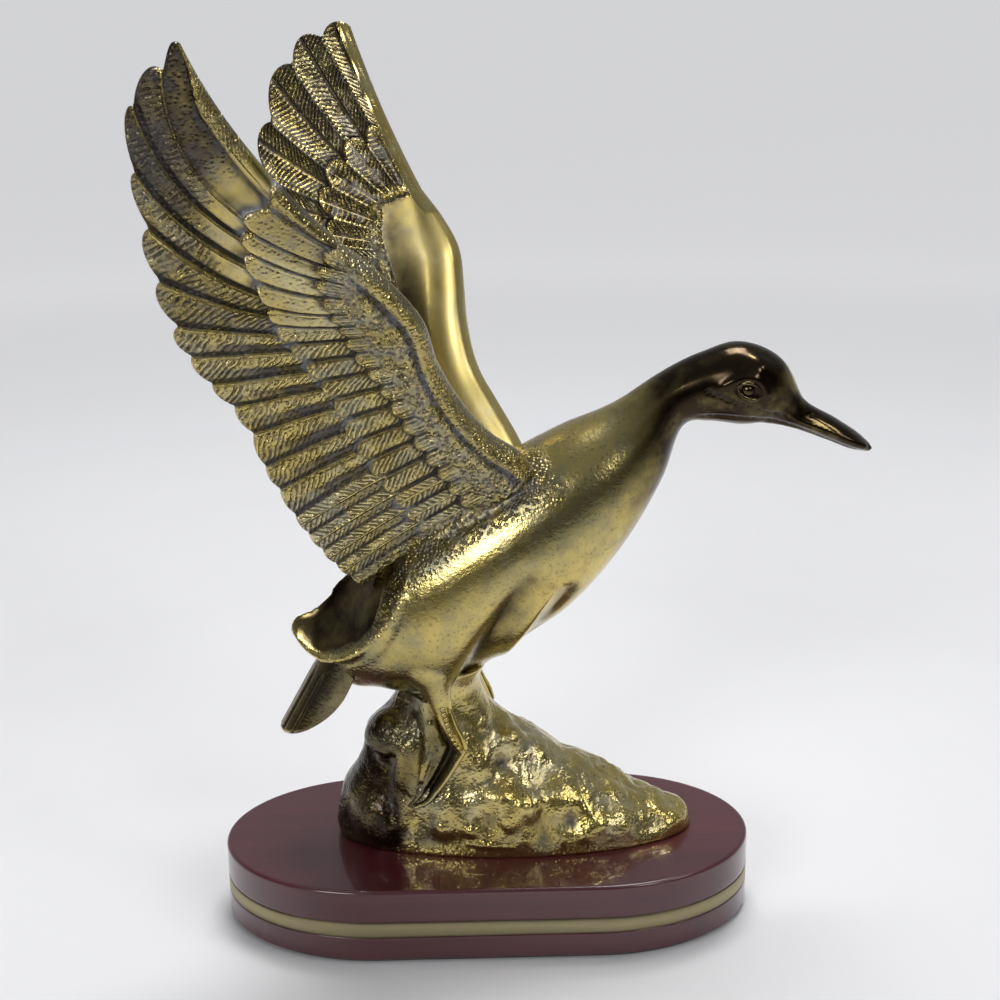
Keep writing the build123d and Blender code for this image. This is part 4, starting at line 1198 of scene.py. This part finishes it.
def rock_mesh(name, sizes):
    """Skin over stacked ellipses and boulders, then moved along its normals by noise of several sizes and by
    dents, knobs and folds on its front; flat underneath."""
    shells = [level_tube(ROCK, (0.0, 0.0, PLINTH_TOP), 90, 72)]
    shells += [ball((c[0], c[1], PLINTH_TOP + c[2]), r) for c, r in BOULDERS]
    mesh = fused(name, shells, sizes.rock_voxel / MM, 20)
    points, normals = points_of(mesh), normals_of(mesh)
    x, y, z = points.T
    free = ramp(z, PLINTH_TOP + 0.8, PLINTH_TOP + 4) * ramp(z, SEAT + 1, SEAT - 6)
    rough = ramp(x, -21, -15) * ramp(z, 54, 46)
    stretched = points * (1.0, 1.0, 0.45)
    moved = (0.4 + 0.7 * rough) * lumps(points, 9.0, 2.0) + (0.34 + 0.33 * rough) * lumps(points, 4.2, 5.0)
    fibrous = 0.28 * lumps(stretched, 2.0, 8.0) + 0.09 * lumps(stretched, 0.9, 3.0)
    moved += 0.1 * (1 - rough) * lumps(points, 1.7, 12.0) + rough * fibrous
    front, profile = ramp(y, 0, -4), points[:, [0, 2]]
    marks = sum(height * spot(x, z, *dent) for *dent, height in DENTS)
    marks = marks + marks_on(profile, FOLDS)
    points = points + normals * (moved * free + marks * front)[:, None]
    points[:, 2] = np.maximum(points[:, 2], PLINTH_TOP)
    move_points(mesh, points)
    hollow = hollows_of(mesh, 40, 0.8)
    patch = lumps(points, 7.0, 11.0)
    lobe = ramp(x, -16, -20)
    folded = ramp(x, -8, -12) * (1 - lobe) * ramp(z, 27, 33)
    foot = ramp(z, PLINTH_TOP + 3.2, PLINTH_TOP + 1.8)
    hollow = np.where(hollow < 0, hollow * (1 - 0.8 * np.maximum(folded, lobe)), hollow)
    polish = np.clip(0.3 + 0.2 * patch - 0.25 * hollow + 0.2 * foot, 0, 1)
    brown = np.clip(0.1 + 0.8 * lobe + 0.62 * folded + 0.18 * patch - 0.15 * foot, 0, 1)
    paint(mesh, hollow=hollow * (1 - 0.5 * lobe), polish=polish, brown=brown,
          chalk=np.clip(hollow * 0.3, 0, 1), stipple=0.03 + 0.12 * rough + 0.18 * lobe)
    smooth_faces(mesh)
    return mesh


# Legs

# Folds of the web as a path of x from the knee and z, half width and height, then how much further out each
# toe ends, the right one first, the beads of the shank and the web's thickness

WEB_FOLDS = [([(-2.6, 48.0), (-3.6, 44.0), (-3.8, 40.0), (-4.6, 35.5)], 1.0, 0.6),
             ([(-1.4, 42.5), (-2.6, 38.0), (-4.6, 33.5)], 0.7, -0.4)]
TOE_DRIFT = (0.0, 2.6)
BEAD_RADIUS, BEAD_TAPER = 0.74, 0.02
WEB_THICKNESS = 3.0


def leg_mesh(name, knee_x, side, drift):
    """Tapered shank with a row of beads down its outer side, a thin bright rim from the ankle to the toe,
    and the web behind the rim: a channel with painted shade, then low folds that sink into the rock."""
    def at(dx, out, z):
        """A point by its distance forward of the knee, its distance out from the middle and its height."""
        return (knee_x + dx, side * out, z)

    core = [at(-0.6, 9.8, 56.0), at(0.2, 10.1, 51.5), at(2.3, 11.2, 46.4), at(4.3, 11.9, 42.4)]
    shells = [cord_tube(core, [2.3, 2.0, 1.6, 1.1], 28, 60)]
    shank = np.array([at(0.1, 11.9, 53.2), at(0.9, 12.3, 49.8), at(2.9, 12.9, 44.5), at(4.3, 13.0, 42.6)])
    steps = run_length(shank)
    beads = spline(steps, shank, np.linspace(0.1, 1, 10) * steps[-1])
    shells += [ball(place, BEAD_RADIUS - BEAD_TAPER * n, 16, 10) for n, place in enumerate(beads)]
    edge = np.array([at(2.0, 12.0, 52.0), at(3.0, 12.5, 49.0), at(4.6, 13.0, 45.2), at(5.1, 13.0, 43.1)])
    rim = np.array([at(4.9, 12.9, 43.1), at(3.8, 13.0 + 0.1 * drift, 41.2),
                    at(2.1, 12.9 + 0.3 * drift, 38.2), at(-1.3, 12.7 + 0.6 * drift, 33.2),
                    at(-3.5, 12.5 + 0.8 * drift, 30.5), at(-6.3, 12.2 + drift, 29.2)])
    shells.append(cord_tube(edge, [0.3, 0.42, 0.46, 0.5], 12, 40))
    shells.append(cord_tube(rim, [0.62, 0.6, 0.55, 0.5, 0.45, 0.3], 16, 70))
    outer_path = np.concatenate([shank, rim[1:]])
    inner_path = np.array([at(-9.0, 4.0, 53.0), at(-11.0, 4.4, 47.0), at(-12.0, 5.0, 41.0),
                           at(-12.0, 5.6 + 0.5 * drift, 35.0), at(-10.0, 7.0 + drift, 29.6)])
    s, w = np.linspace(0, 1, 110), np.linspace(0, 1, 70)
    outer, inner = (spline(run_length(path), path, s * run_length(path)[-1])
                    for path in (outer_path, inner_path))
    web = outer[:, None] * (1 - w[None, :, None]) + inner[:, None] * w[None, :, None]
    channel = bell(w - 0.14, 0.075)[None] * ramp(s, 0.02, 0.16)[:, None] * ramp(s, 1.0, 0.9)[:, None]
    profile = np.stack([web[..., 0] - knee_x, web[..., 2]], -1).reshape(-1, 2)
    folds = marks_on(profile, WEB_FOLDS).reshape(web.shape[:2])
    rumpled = lumps(web.reshape(-1, 3), 3.0, 14.0).reshape(folds.shape) * ramp(w, 0.2, 0.32)[None]
    web[..., 1] += side * (1.6 * bell(w - 0.4, 0.24)[None] - 1.3 * channel + folds + 0.6 * rumpled - 0.3)
    back = web - np.array([0, side * WEB_THICKNESS, 0])
    rows, columns = web.shape[:2]
    first = np.arange(rows * columns).reshape(rows, columns)
    loop = np.concatenate([first[0, :-1], first[:-1, -1], first[-1, :0:-1], first[:0:-1, 0]])
    turn = np.roll(loop, -1)
    quads = grid_quads(rows, columns)
    wall = np.stack([loop, loop + rows * columns, turn + rows * columns, turn], -1)
    points = np.concatenate([web.reshape(-1, 3), back.reshape(-1, 3)])
    faces = np.concatenate([quads, quads[:, ::-1] + rows * columns, wall])
    shells.append((points, outward(points, [faces])))
    mesh = new_mesh(name, *joined(shells))
    rest = len(mesh.vertices) - len(points)
    # The web's brown: a stain, darker with painted shade in the channel behind the rim, lighter on the raised
    # folds and lumps
    web_stain_and_shade = 0.6 + 0.4 * channel - 0.2 * folds - 0.25 * rumpled
    dark = np.concatenate([np.zeros(rest), np.tile(web_stain_and_shade.ravel(), 2)])
    on_web = np.arange(len(dark)) >= rest
    paint(mesh, hollow=np.where(on_web, 0.5 * (dark - 0.35), -0.3), polish=np.where(on_web, 0.4, 0.62),
          brown=np.where(on_web, dark, 0.1), chalk=np.zeros(len(dark)), stipple=np.where(on_web, 0.25, 0.0))
    smooth_faces(mesh)
    return mesh


# Lower tail

# Middle of its root, slope and half arc in degrees, length, depth in the rump, radius at the root and
# half of its wall

FAN_ROOT = (-30.1, 0.0, SEAT + 1.4)
FAN_FALL, FAN_HALF_ARC = 62, 104
FAN_REACH, FAN_BURY, FAN_RADIUS = 17.5, 6.0, 7.0
FAN_HALF_WALL = 0.9


def fan_mesh(name):
    """Roof-shaped blade: an arc of constant wall carried from root to tip, grooved lengthwise along its
    ridge. Its sides stop short, so that its end slants."""
    fall, half_arc = np.radians(FAN_FALL), np.radians(FAN_HALF_ARC)
    axis, up = np.array([-np.cos(fall), 0, -np.sin(fall)]), np.array([-np.sin(fall), 0, np.cos(fall)])
    share, angle = np.meshgrid(np.linspace(0, 1, 90), np.linspace(-half_arc, half_arc, 130), indexing="ij")
    out = np.abs(angle) / half_arc
    along = -FAN_BURY + share * (FAN_REACH + FAN_BURY) * (1 - 0.8 * (1 - np.sqrt(1 - 0.98 * out**2)))
    radius = FAN_RADIUS + 0.5 * share
    round_end, round_sides = np.clip(1 - ramp(share, 0.95, 1.0) ** 2, 0, 1), np.clip(1 - out**16, 0, 1)
    half = FAN_HALF_WALL * np.sqrt(round_end) * np.sqrt(round_sides)
    groove = 0.42 * (1 - np.abs(np.sin(angle * 7.5))) ** 3 * ramp(out, 0.62, 0.48) * ramp(share, 0.2, 0.4)
    skins = []
    for sign, cut in ((1, groove), (-1, groove * 0.3)):
        r = radius - FAN_HALF_WALL + sign * (half - np.minimum(cut, half * 0.8))
        level, high = (r * np.sin(angle))[..., None], (r * np.cos(angle))[..., None]
        skins.append(FAN_ROOT + along[..., None] * axis + level * np.array([0, 1.0, 0]) + high * up)
    edge = np.maximum(ramp(out, 0.94, 0.985), ramp(share, 0.965, 0.99))
    layers = {"hollow": groove / 0.4, "polish": 0.5 + 0.2 * edge, "brown": 0.8 * (1 - 0.85 * edge),
              "chalk": 0 * share, "stipple": 0.12 + 0 * share}
    return skins_mesh(name, skins, {n: (v, v) for n, v in layers.items()})


# Plinth

def plan_ring(inset, z):
    """Outline of the plinth at one height: straight sides and half-elliptic ends, drawn in by the inset."""
    angle = np.linspace(-np.pi / 2, np.pi / 2, PLINTH_END_POINTS)
    end_x = PLINTH_STRAIGHT + (PLINTH_END - inset) * np.cos(angle)
    end_y = (PLINTH_HALF_DEPTH - inset) * np.sin(angle)
    x, y = np.concatenate([end_x, -end_x]), np.concatenate([end_y, -end_y])
    return np.stack([x, y, np.full(len(x), float(z))], -1)


def stacked_rings(profile):
    """Points of a profile of (inset, height) pairs carried round the plan, with the number of rings and of
    points in one."""
    rings = np.stack([plan_ring(*pair) for pair in profile])
    return rings.reshape(-1, 3), *rings.shape[:2]


def board_mesh(name, profile):
    """Solid board: a profile of (inset, height) pairs carried round the plan, closed flat at both ends."""
    points, rows, columns = stacked_rings(profile)
    caps = np.stack([np.arange(columns)[::-1], np.arange(columns) + (rows - 1) * columns])
    faces = [grid_quads(rows, columns, True), caps]
    mesh = new_mesh(name, points, faces)
    smooth_faces(mesh)
    return mesh


def rounded(z, radius, start, stop, steps):
    """Quarter round of a profile, from one angle to another, that touches the plan's outline at height z."""
    angle = np.radians(np.linspace(start, stop, steps))
    return [(radius - radius * np.cos(v), z + radius * np.sin(v)) for v in angle]


def lower_profile():
    """Section of the lower board from its foot to its top: a rounded foot, the side, a rounded ledge under
    the band and the wall behind it. Pairs close to an edge keep the faces beside it flat."""
    low, joint, ledge = FELT_TOP, PLINTH_JOINT, PLINTH_JOINT - BAND_HEIGHT
    return [(3.0, low), (0.9, low), *rounded(low + FOOT_ROUND, FOOT_ROUND, -90, 0, 7),
            (0.0, low + 1.2), (0.0, joint - 4.2), *rounded(ledge - BAND_ROUND, BAND_ROUND, 0, 90, 4),
            (0.6, ledge), (1.8, ledge), (BAND_DEPTH, joint - 3.4), (BAND_DEPTH, joint - 0.2),
            (2.2, joint), (4.0, joint)]


def upper_profile():
    """Section of the upper board from the band to its top: a small rounding, the side, a larger rounding."""
    joint, top = PLINTH_JOINT, PLINTH_TOP
    return [(4.0, joint), (0.6, joint), *rounded(joint + BAND_ROUND, BAND_ROUND, -90, 0, 4),
            (0.0, joint + 0.8), (0.0, top - 1.4), *rounded(top - TOP_ROUND, TOP_ROUND, 0, 90, 7),
            (1.1, top), (4.0, top)]


def band_mesh(name):
    """Flat brass ring let into the board: its section carried round the plan."""
    low, high = PLINTH_JOINT - BAND_HEIGHT, PLINTH_JOINT
    face = [(BAND_CHAMFER, low), (0.0, low + BAND_CHAMFER), (0.0, high - BAND_CHAMFER), (BAND_CHAMFER, high)]
    points, rows, columns = stacked_rings([(BAND_DEPTH, low), *face, (BAND_DEPTH, high)])
    quads = grid_quads(rows + 1, columns, True) % (rows * columns)
    mesh = new_mesh(name, points, outward(points, [quads]))
    smooth_faces(mesh)
    return mesh


# Settings

def colour_property(title, text, default):
    """A colour that a user may change."""
    return FloatVectorProperty(name=title, description=text, default=default, size=3, min=0.0, max=1.0,
                               subtype="COLOR")


class DuckColours(bpy.types.PropertyGroup):
    """Colours of the finishes."""
    gold: colour_property("Gold", "Brass where hands have polished it", (0.63, 0.50, 0.165))
    olive: colour_property("Olive", "Brass with its cast skin, on the body", (0.36, 0.335, 0.20))
    carved: colour_property("Carved", "Brass with its cast skin, on carved pieces", (0.66, 0.605, 0.40))
    # Umber also colours the painted shade and painted dark reflections of the brown layer, and the painted
    # shade at the band's edges
    umber: colour_property("Umber", "Brown stain of the brass", (0.038, 0.025, 0.013))
    residue: colour_property("Residue", "Dried polish in the grooves", (0.36, 0.37, 0.40))
    band: colour_property("Band", "Brass strip of the plinth", (0.36, 0.30, 0.17))
    mahogany: colour_property("Mahogany", "Lighter figure of the wood", (0.085, 0.012, 0.019))
    mahogany_dark: colour_property("Dark mahogany", "Darker figure of the wood", (0.055, 0.008, 0.014))
    felt: colour_property("Felt", "Pad under the plinth", (0.03, 0.06, 0.04))
    steel: colour_property("Steel", "Plated screws and washers", (0.55, 0.55, 0.56))
    floor: colour_property("Floor", "Studio floor and backdrop", (0.80, 0.80, 0.82))


def size_property(title, text, default, low, high, unit="LENGTH"):
    """A size that a user may change between two limits."""
    return FloatProperty(name=title, description=text, default=default, min=low, max=high, unit=unit)


class DuckSizes(bpy.types.PropertyGroup):
    """Sizes of the modelled detail."""
    feather_depth: size_property("Feather depth", "Height of the carving on the wings", 0.0008, 0.0, 0.003)
    barb_pitch: size_property("Barb pitch", "Distance between two barbs of a feather", 0.0013, 0.0005, 0.004)
    skin_voxel: size_property("Body detail", "Cell of the body's skin", 0.00046, 0.0003, 0.002)
    rock_voxel: size_property("Rock detail", "Cell of the rock's skin", 0.00052, 0.0003, 0.002)
    camera_lens: size_property("Lens", "Focal length of the camera", 64.8, 20.0, 200.0, "CAMERA")


def settings():
    """Sizes and colours of this scene."""
    return bpy.context.scene.brass_duck_sizes, bpy.context.scene.brass_duck_colours


# Operators

class DUCK_OT_stage(bpy.types.Operator):
    """Sets the floor, the lights and the camera"""
    bl_idname = "brass_duck.stage"
    bl_label = "Stage"

    def execute(self, context):
        sizes, colours = settings()
        build_stage(sizes, colours)
        return {"FINISHED"}


class DUCK_OT_plinth(bpy.types.Operator):
    """Makes the two boards of the plinth and the brass band between them"""
    bl_idname = "brass_duck.plinth"
    bl_label = "Plinth"

    def execute(self, context):
        colours = settings()[1]
        wood = lacquered_wood("lacquered_mahogany", colours)
        for name, profile, node in (("plinth_lower_board", lower_profile(), "plinth_lower"),
                                    ("plinth_upper_board", upper_profile(), "plinth_upper")):
            put_piece(name, board_mesh(name, profile), wood, "lacquered_wood", node)
        put_piece("plinth_band", band_mesh("plinth_band"), band_brass("brushed_band", colours),
                  "band_brass", "inlay_band")
        return {"FINISHED"}


class DUCK_OT_rock(bpy.types.Operator):
    """Makes the rock"""
    bl_idname = "brass_duck.rock"
    bl_label = "Rock"

    def execute(self, context):
        sizes, colours = settings()
        put_piece("rock", rock_mesh("rock", sizes), brass("rock_brass", colours, colours.carved, 0.6),
                  "cast_brass", "rock_casting")
        return {"FINISHED"}


class DUCK_OT_body(bpy.types.Operator):
    """Makes the body with its head, tail and thighs, and the eyes"""
    bl_idname = "brass_duck.body"
    bl_label = "Body"

    def execute(self, context):
        sizes, colours = settings()
        finish = brass("body_brass", colours, colours.olive, 0.4, 0.12)
        body = body_mesh("body", sizes)
        put_piece("body", body, finish, "cast_brass", "body_casting")
        put_piece("eyes", eye_mesh("eyes", points_of(body)), finish, "cast_brass", "body_casting")
        return {"FINISHED"}


class DUCK_OT_legs(bpy.types.Operator):
    """Makes both legs with their webbed feet"""
    bl_idname = "brass_duck.legs"
    bl_label = "Legs"

    def execute(self, context):
        colours = settings()[1]
        skin = brass("leg_brass", colours, colours.carved, 0.35)
        names = (("right_leg", "leg_right"), ("left_leg", "leg_left"))
        for (name, node), knee, drift in zip(names, KNEES, TOE_DRIFT):
            put_piece(name, leg_mesh(name, *knee, drift), skin, "cast_brass", node)
        return {"FINISHED"}


class DUCK_OT_tail(bpy.types.Operator):
    """Makes the lower tail"""
    bl_idname = "brass_duck.tail"
    bl_label = "Lower tail"

    def execute(self, context):
        colours = settings()[1]
        put_piece("lower_tail", fan_mesh("lower_tail"), brass("tail_brass", colours, colours.carved, 0.3),
                  "cast_brass", "tail_fan")
        return {"FINISHED"}


class DUCK_OT_wings(bpy.types.Operator):
    """Makes both wings with their feathers"""
    bl_idname = "brass_duck.wings"
    bl_label = "Wings"

    def execute(self, context):
        sizes, colours = settings()
        finish = brass("wing_brass", colours, colours.carved, 0.8, feathered=True)
        names = (("right_wing", "wing_right"), ("left_wing", "wing_left"))
        for (name, node), wing in zip(names, WINGS.values()):
            put_piece(name, wing_mesh(name, wing, sizes), finish, "cast_brass", node)
        return {"FINISHED"}


class DUCK_OT_fittings(bpy.types.Operator):
    """Finishes the felt pad, the screws and the washers"""
    bl_idname = "brass_duck.fittings"
    bl_label = "Felt and screws"

    def execute(self, context):
        colours = settings()[1]
        steel = plated_steel("plated_steel", colours)
        for node, material in (("felt_pad", felt("green_felt", colours)), ("mounting_screws", steel),
                               ("screw_washers", steel)):
            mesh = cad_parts[node].data
            mesh.materials.clear()
            mesh.materials.append(material)
        return {"FINISHED"}


class DUCK_PT_parts(bpy.types.Panel):
    """Lists the pieces of the duck"""
    bl_idname = "DUCK_PT_parts"
    bl_label = "Brass Duck"
    bl_space_type = "VIEW_3D"
    bl_region_type = "UI"
    bl_category = "Brass Duck"

    def draw(self, context):
        for owner in settings():
            for name in owner.bl_rna.properties.keys():
                if name not in ("rna_type", "name"):
                    self.layout.prop(owner, name)
        for operator in OPERATORS:
            self.layout.operator(operator.bl_idname)


OPERATORS = (DUCK_OT_stage, DUCK_OT_plinth, DUCK_OT_fittings, DUCK_OT_rock, DUCK_OT_body, DUCK_OT_legs,
             DUCK_OT_tail, DUCK_OT_wings)
CLASSES = (DuckColours, DuckSizes, *OPERATORS, DUCK_PT_parts)


# Stage

# Soft boxes as name, place, target and size in metres, power in watts and cone in degrees

LAMPS = (
    ("top_box", (0.1, 0.3, 1.15), (0.0, 0.05, 0.05), (0.55, 0.45), 1.4, 60),
    ("front_left_box", (-0.54, -0.93, 0.63), (0.0, 0.0, 0.1), (0.42, 0.34), 0.28, 45),
    ("front_right_box", (0.57, -0.79, 0.81), (0.0, 0.0, 0.12), (0.24, 0.32), 0.15, 50),
    ("right_box", (0.83, -0.39, 0.87), (0.03, 0.0, 0.12), (0.18, 0.18), 0.12, 60),
)

# Camera: its place, then how far it looks down, turns right and rolls, in degrees

CAMERA_PLACE = (-0.0015, -0.3584, 0.2121)
CAMERA_TURN = (18.2, 0.88, -0.9)
SENSOR_WIDTH = 36.0

# Half side of the floor in millimetres and the colours of the world: behind the camera, behind the duck,
# overhead, and what the camera sees

FLOOR_REACH = 6000
WORLD_FRONT = (0.06, 0.057, 0.054, 1)
WORLD_BACK = (0.33, 0.335, 0.345, 1)
WORLD_TOP = (0.22, 0.225, 0.23, 1)
BACKDROP = (0.655, 0.657, 0.668, 1)


def placed(x_axis, y_axis, z_axis, place):
    """Matrix that turns an object to the given axes and puts it at a place."""
    turn = np.eye(4)
    turn[:3] = np.stack([x_axis, y_axis, z_axis, place], -1)
    return Matrix(turn.tolist())


def area_light(name, place, target, size, power, cone):
    """Soft box with a grid that looks at a target and lights a cone of the given angle in degrees."""
    lamp = bpy.data.lights.new(name, "AREA")
    lamp.shape = "RECTANGLE"
    lamp.size, lamp.size_y = size
    lamp.energy = power
    lamp.spread = np.radians(cone)
    box = bpy.data.objects.new(name, lamp)
    away = np.array(place, float) - np.array(target, float)
    away /= np.linalg.norm(away)
    side = np.cross((0, 0, 1.0) if abs(away[2]) < 0.95 else (0, 1.0, 0), away)
    side /= np.linalg.norm(side)
    box.matrix_world = placed(side, np.cross(away, side), away, place)
    bpy.context.scene.collection.objects.link(box)


def build_stage(sizes, colours):
    """Pale floor, gridded soft boxes, a world that is dark towards the camera and pale behind the duck, and
    the camera."""
    bpy.context.scene.view_settings.view_transform = "Standard"
    build_floor(colours)
    build_world()
    for lamp in LAMPS:
        area_light(*lamp)
    build_camera(sizes)


def build_floor(colours):
    """Pale floor that glows a little where the camera sees it far out and where the brass mirrors it behind
    the duck."""
    scene = bpy.context.scene
    corners = [(-1, -1, 0), (1, -1, 0), (1, 1, 0), (-1, 1, 0)]
    floor_mesh = new_mesh("floor", FLOOR_REACH * np.array(corners, float), [np.array([[0, 1, 2, 3]])])
    floor = bpy.data.objects.new("floor", floor_mesh)
    scene.collection.objects.link(floor)
    material, tree, surface = new_material("pale_floor")
    place = object_place(tree)
    weave = noise(tree, place, 30.0, 3.0)
    shade = tuple(c * 0.97 for c in colours.floor)
    path = add_node(tree, "ShaderNodeLightPath").outputs
    far_out = add_node(tree, "ShaderNodeVectorMath", {0: place}, operation="LENGTH").outputs["Value"]
    around = spread(tree, far_out, 0.2, 0.75, 0.0, 0.6)
    far_back = add_node(tree, "ShaderNodeSeparateXYZ", {0: place}).outputs[1]
    behind = spread(tree, far_back, 0.1, 0.8, 0.0, 0.6)
    mirrored = sums(tree, "ADD", path["Is Glossy Ray"], path["Is Transmission Ray"], clamp=True)
    glow = sums(tree, "MULTIPLY_ADD", behind, mirrored,
                sums(tree, "MULTIPLY", around, path["Is Camera Ray"]))
    put_shader(tree, surface, {
        "Base Color": mixed(tree, weave, (*colours.floor, 1), (*shade, 1)), "Roughness": 0.8,
        "Specular IOR Level": 0.1, "Emission Color": (*colours.floor, 1), "Emission Strength": glow})
    floor_mesh.materials.append(material)


def build_world():
    """World colour by direction: from dark in front to pale behind, then the overhead colour towards the
    top, and the backdrop where the camera looks straight at it."""
    world = bpy.data.worlds.new("studio")
    world.use_nodes = True
    tree = world.node_tree
    tree.nodes.clear()
    direction = add_node(tree, "ShaderNodeTexCoord").outputs["Generated"]
    y, z = add_node(tree, "ShaderNodeSeparateXYZ", {0: direction}).outputs[1:3]
    level = mixed(tree, spread(tree, y, -0.3, 0.5), WORLD_FRONT, WORLD_BACK)
    colour = mixed(tree, spread(tree, z, 0.3, 0.9), level, WORLD_TOP)
    seen = add_node(tree, "ShaderNodeLightPath").outputs["Is Camera Ray"]
    colour = mixed(tree, seen, colour, BACKDROP)
    background = add_node(tree, "ShaderNodeBackground", {"Color": colour, "Strength": 1.0})
    out = add_node(tree, "ShaderNodeOutputWorld")
    tree.links.new(background.outputs[0], out.inputs["Surface"])
    bpy.context.scene.world = world


def build_camera(sizes):
    """Camera at its place: its view turned right about the upright, then down, then rolled about its line of
    sight."""
    camera = bpy.data.cameras.new("camera")
    camera.lens = sizes.camera_lens
    camera.sensor_width = SENSOR_WIDTH
    camera.clip_start, camera.clip_end = 0.01, 50.0
    pitch, yaw, roll = np.radians(CAMERA_TURN)
    forward = np.array([np.sin(yaw) * np.cos(pitch), np.cos(yaw) * np.cos(pitch), -np.sin(pitch)])
    right = np.array([np.cos(yaw), -np.sin(yaw), 0])
    up = np.cross(right, forward)
    level = right * np.cos(roll) + up * np.sin(roll)
    upright = up * np.cos(roll) - right * np.sin(roll)
    view = bpy.data.objects.new("camera", camera)
    view.matrix_world = placed(level, upright, -forward, CAMERA_PLACE)
    bpy.context.scene.collection.objects.link(view)
    bpy.context.scene.camera = view


def register():
    """Registers the classes and their settings."""
    for cls in CLASSES:
        bpy.utils.register_class(cls)
    bpy.types.Scene.brass_duck_colours = PointerProperty(type=DuckColours)
    bpy.types.Scene.brass_duck_sizes = PointerProperty(type=DuckSizes)


def unregister():
    """Removes the settings and the classes."""
    del bpy.types.Scene.brass_duck_sizes
    del bpy.types.Scene.brass_duck_colours
    for cls in reversed(CLASSES):
        bpy.utils.unregister_class(cls)


def main():
    """Builds every piece in order."""
    register()
    for operator in OPERATORS:
        group, name = operator.bl_idname.split(".")
        getattr(getattr(bpy.ops, group), name)()


if __name__ == "__main__":
    main()
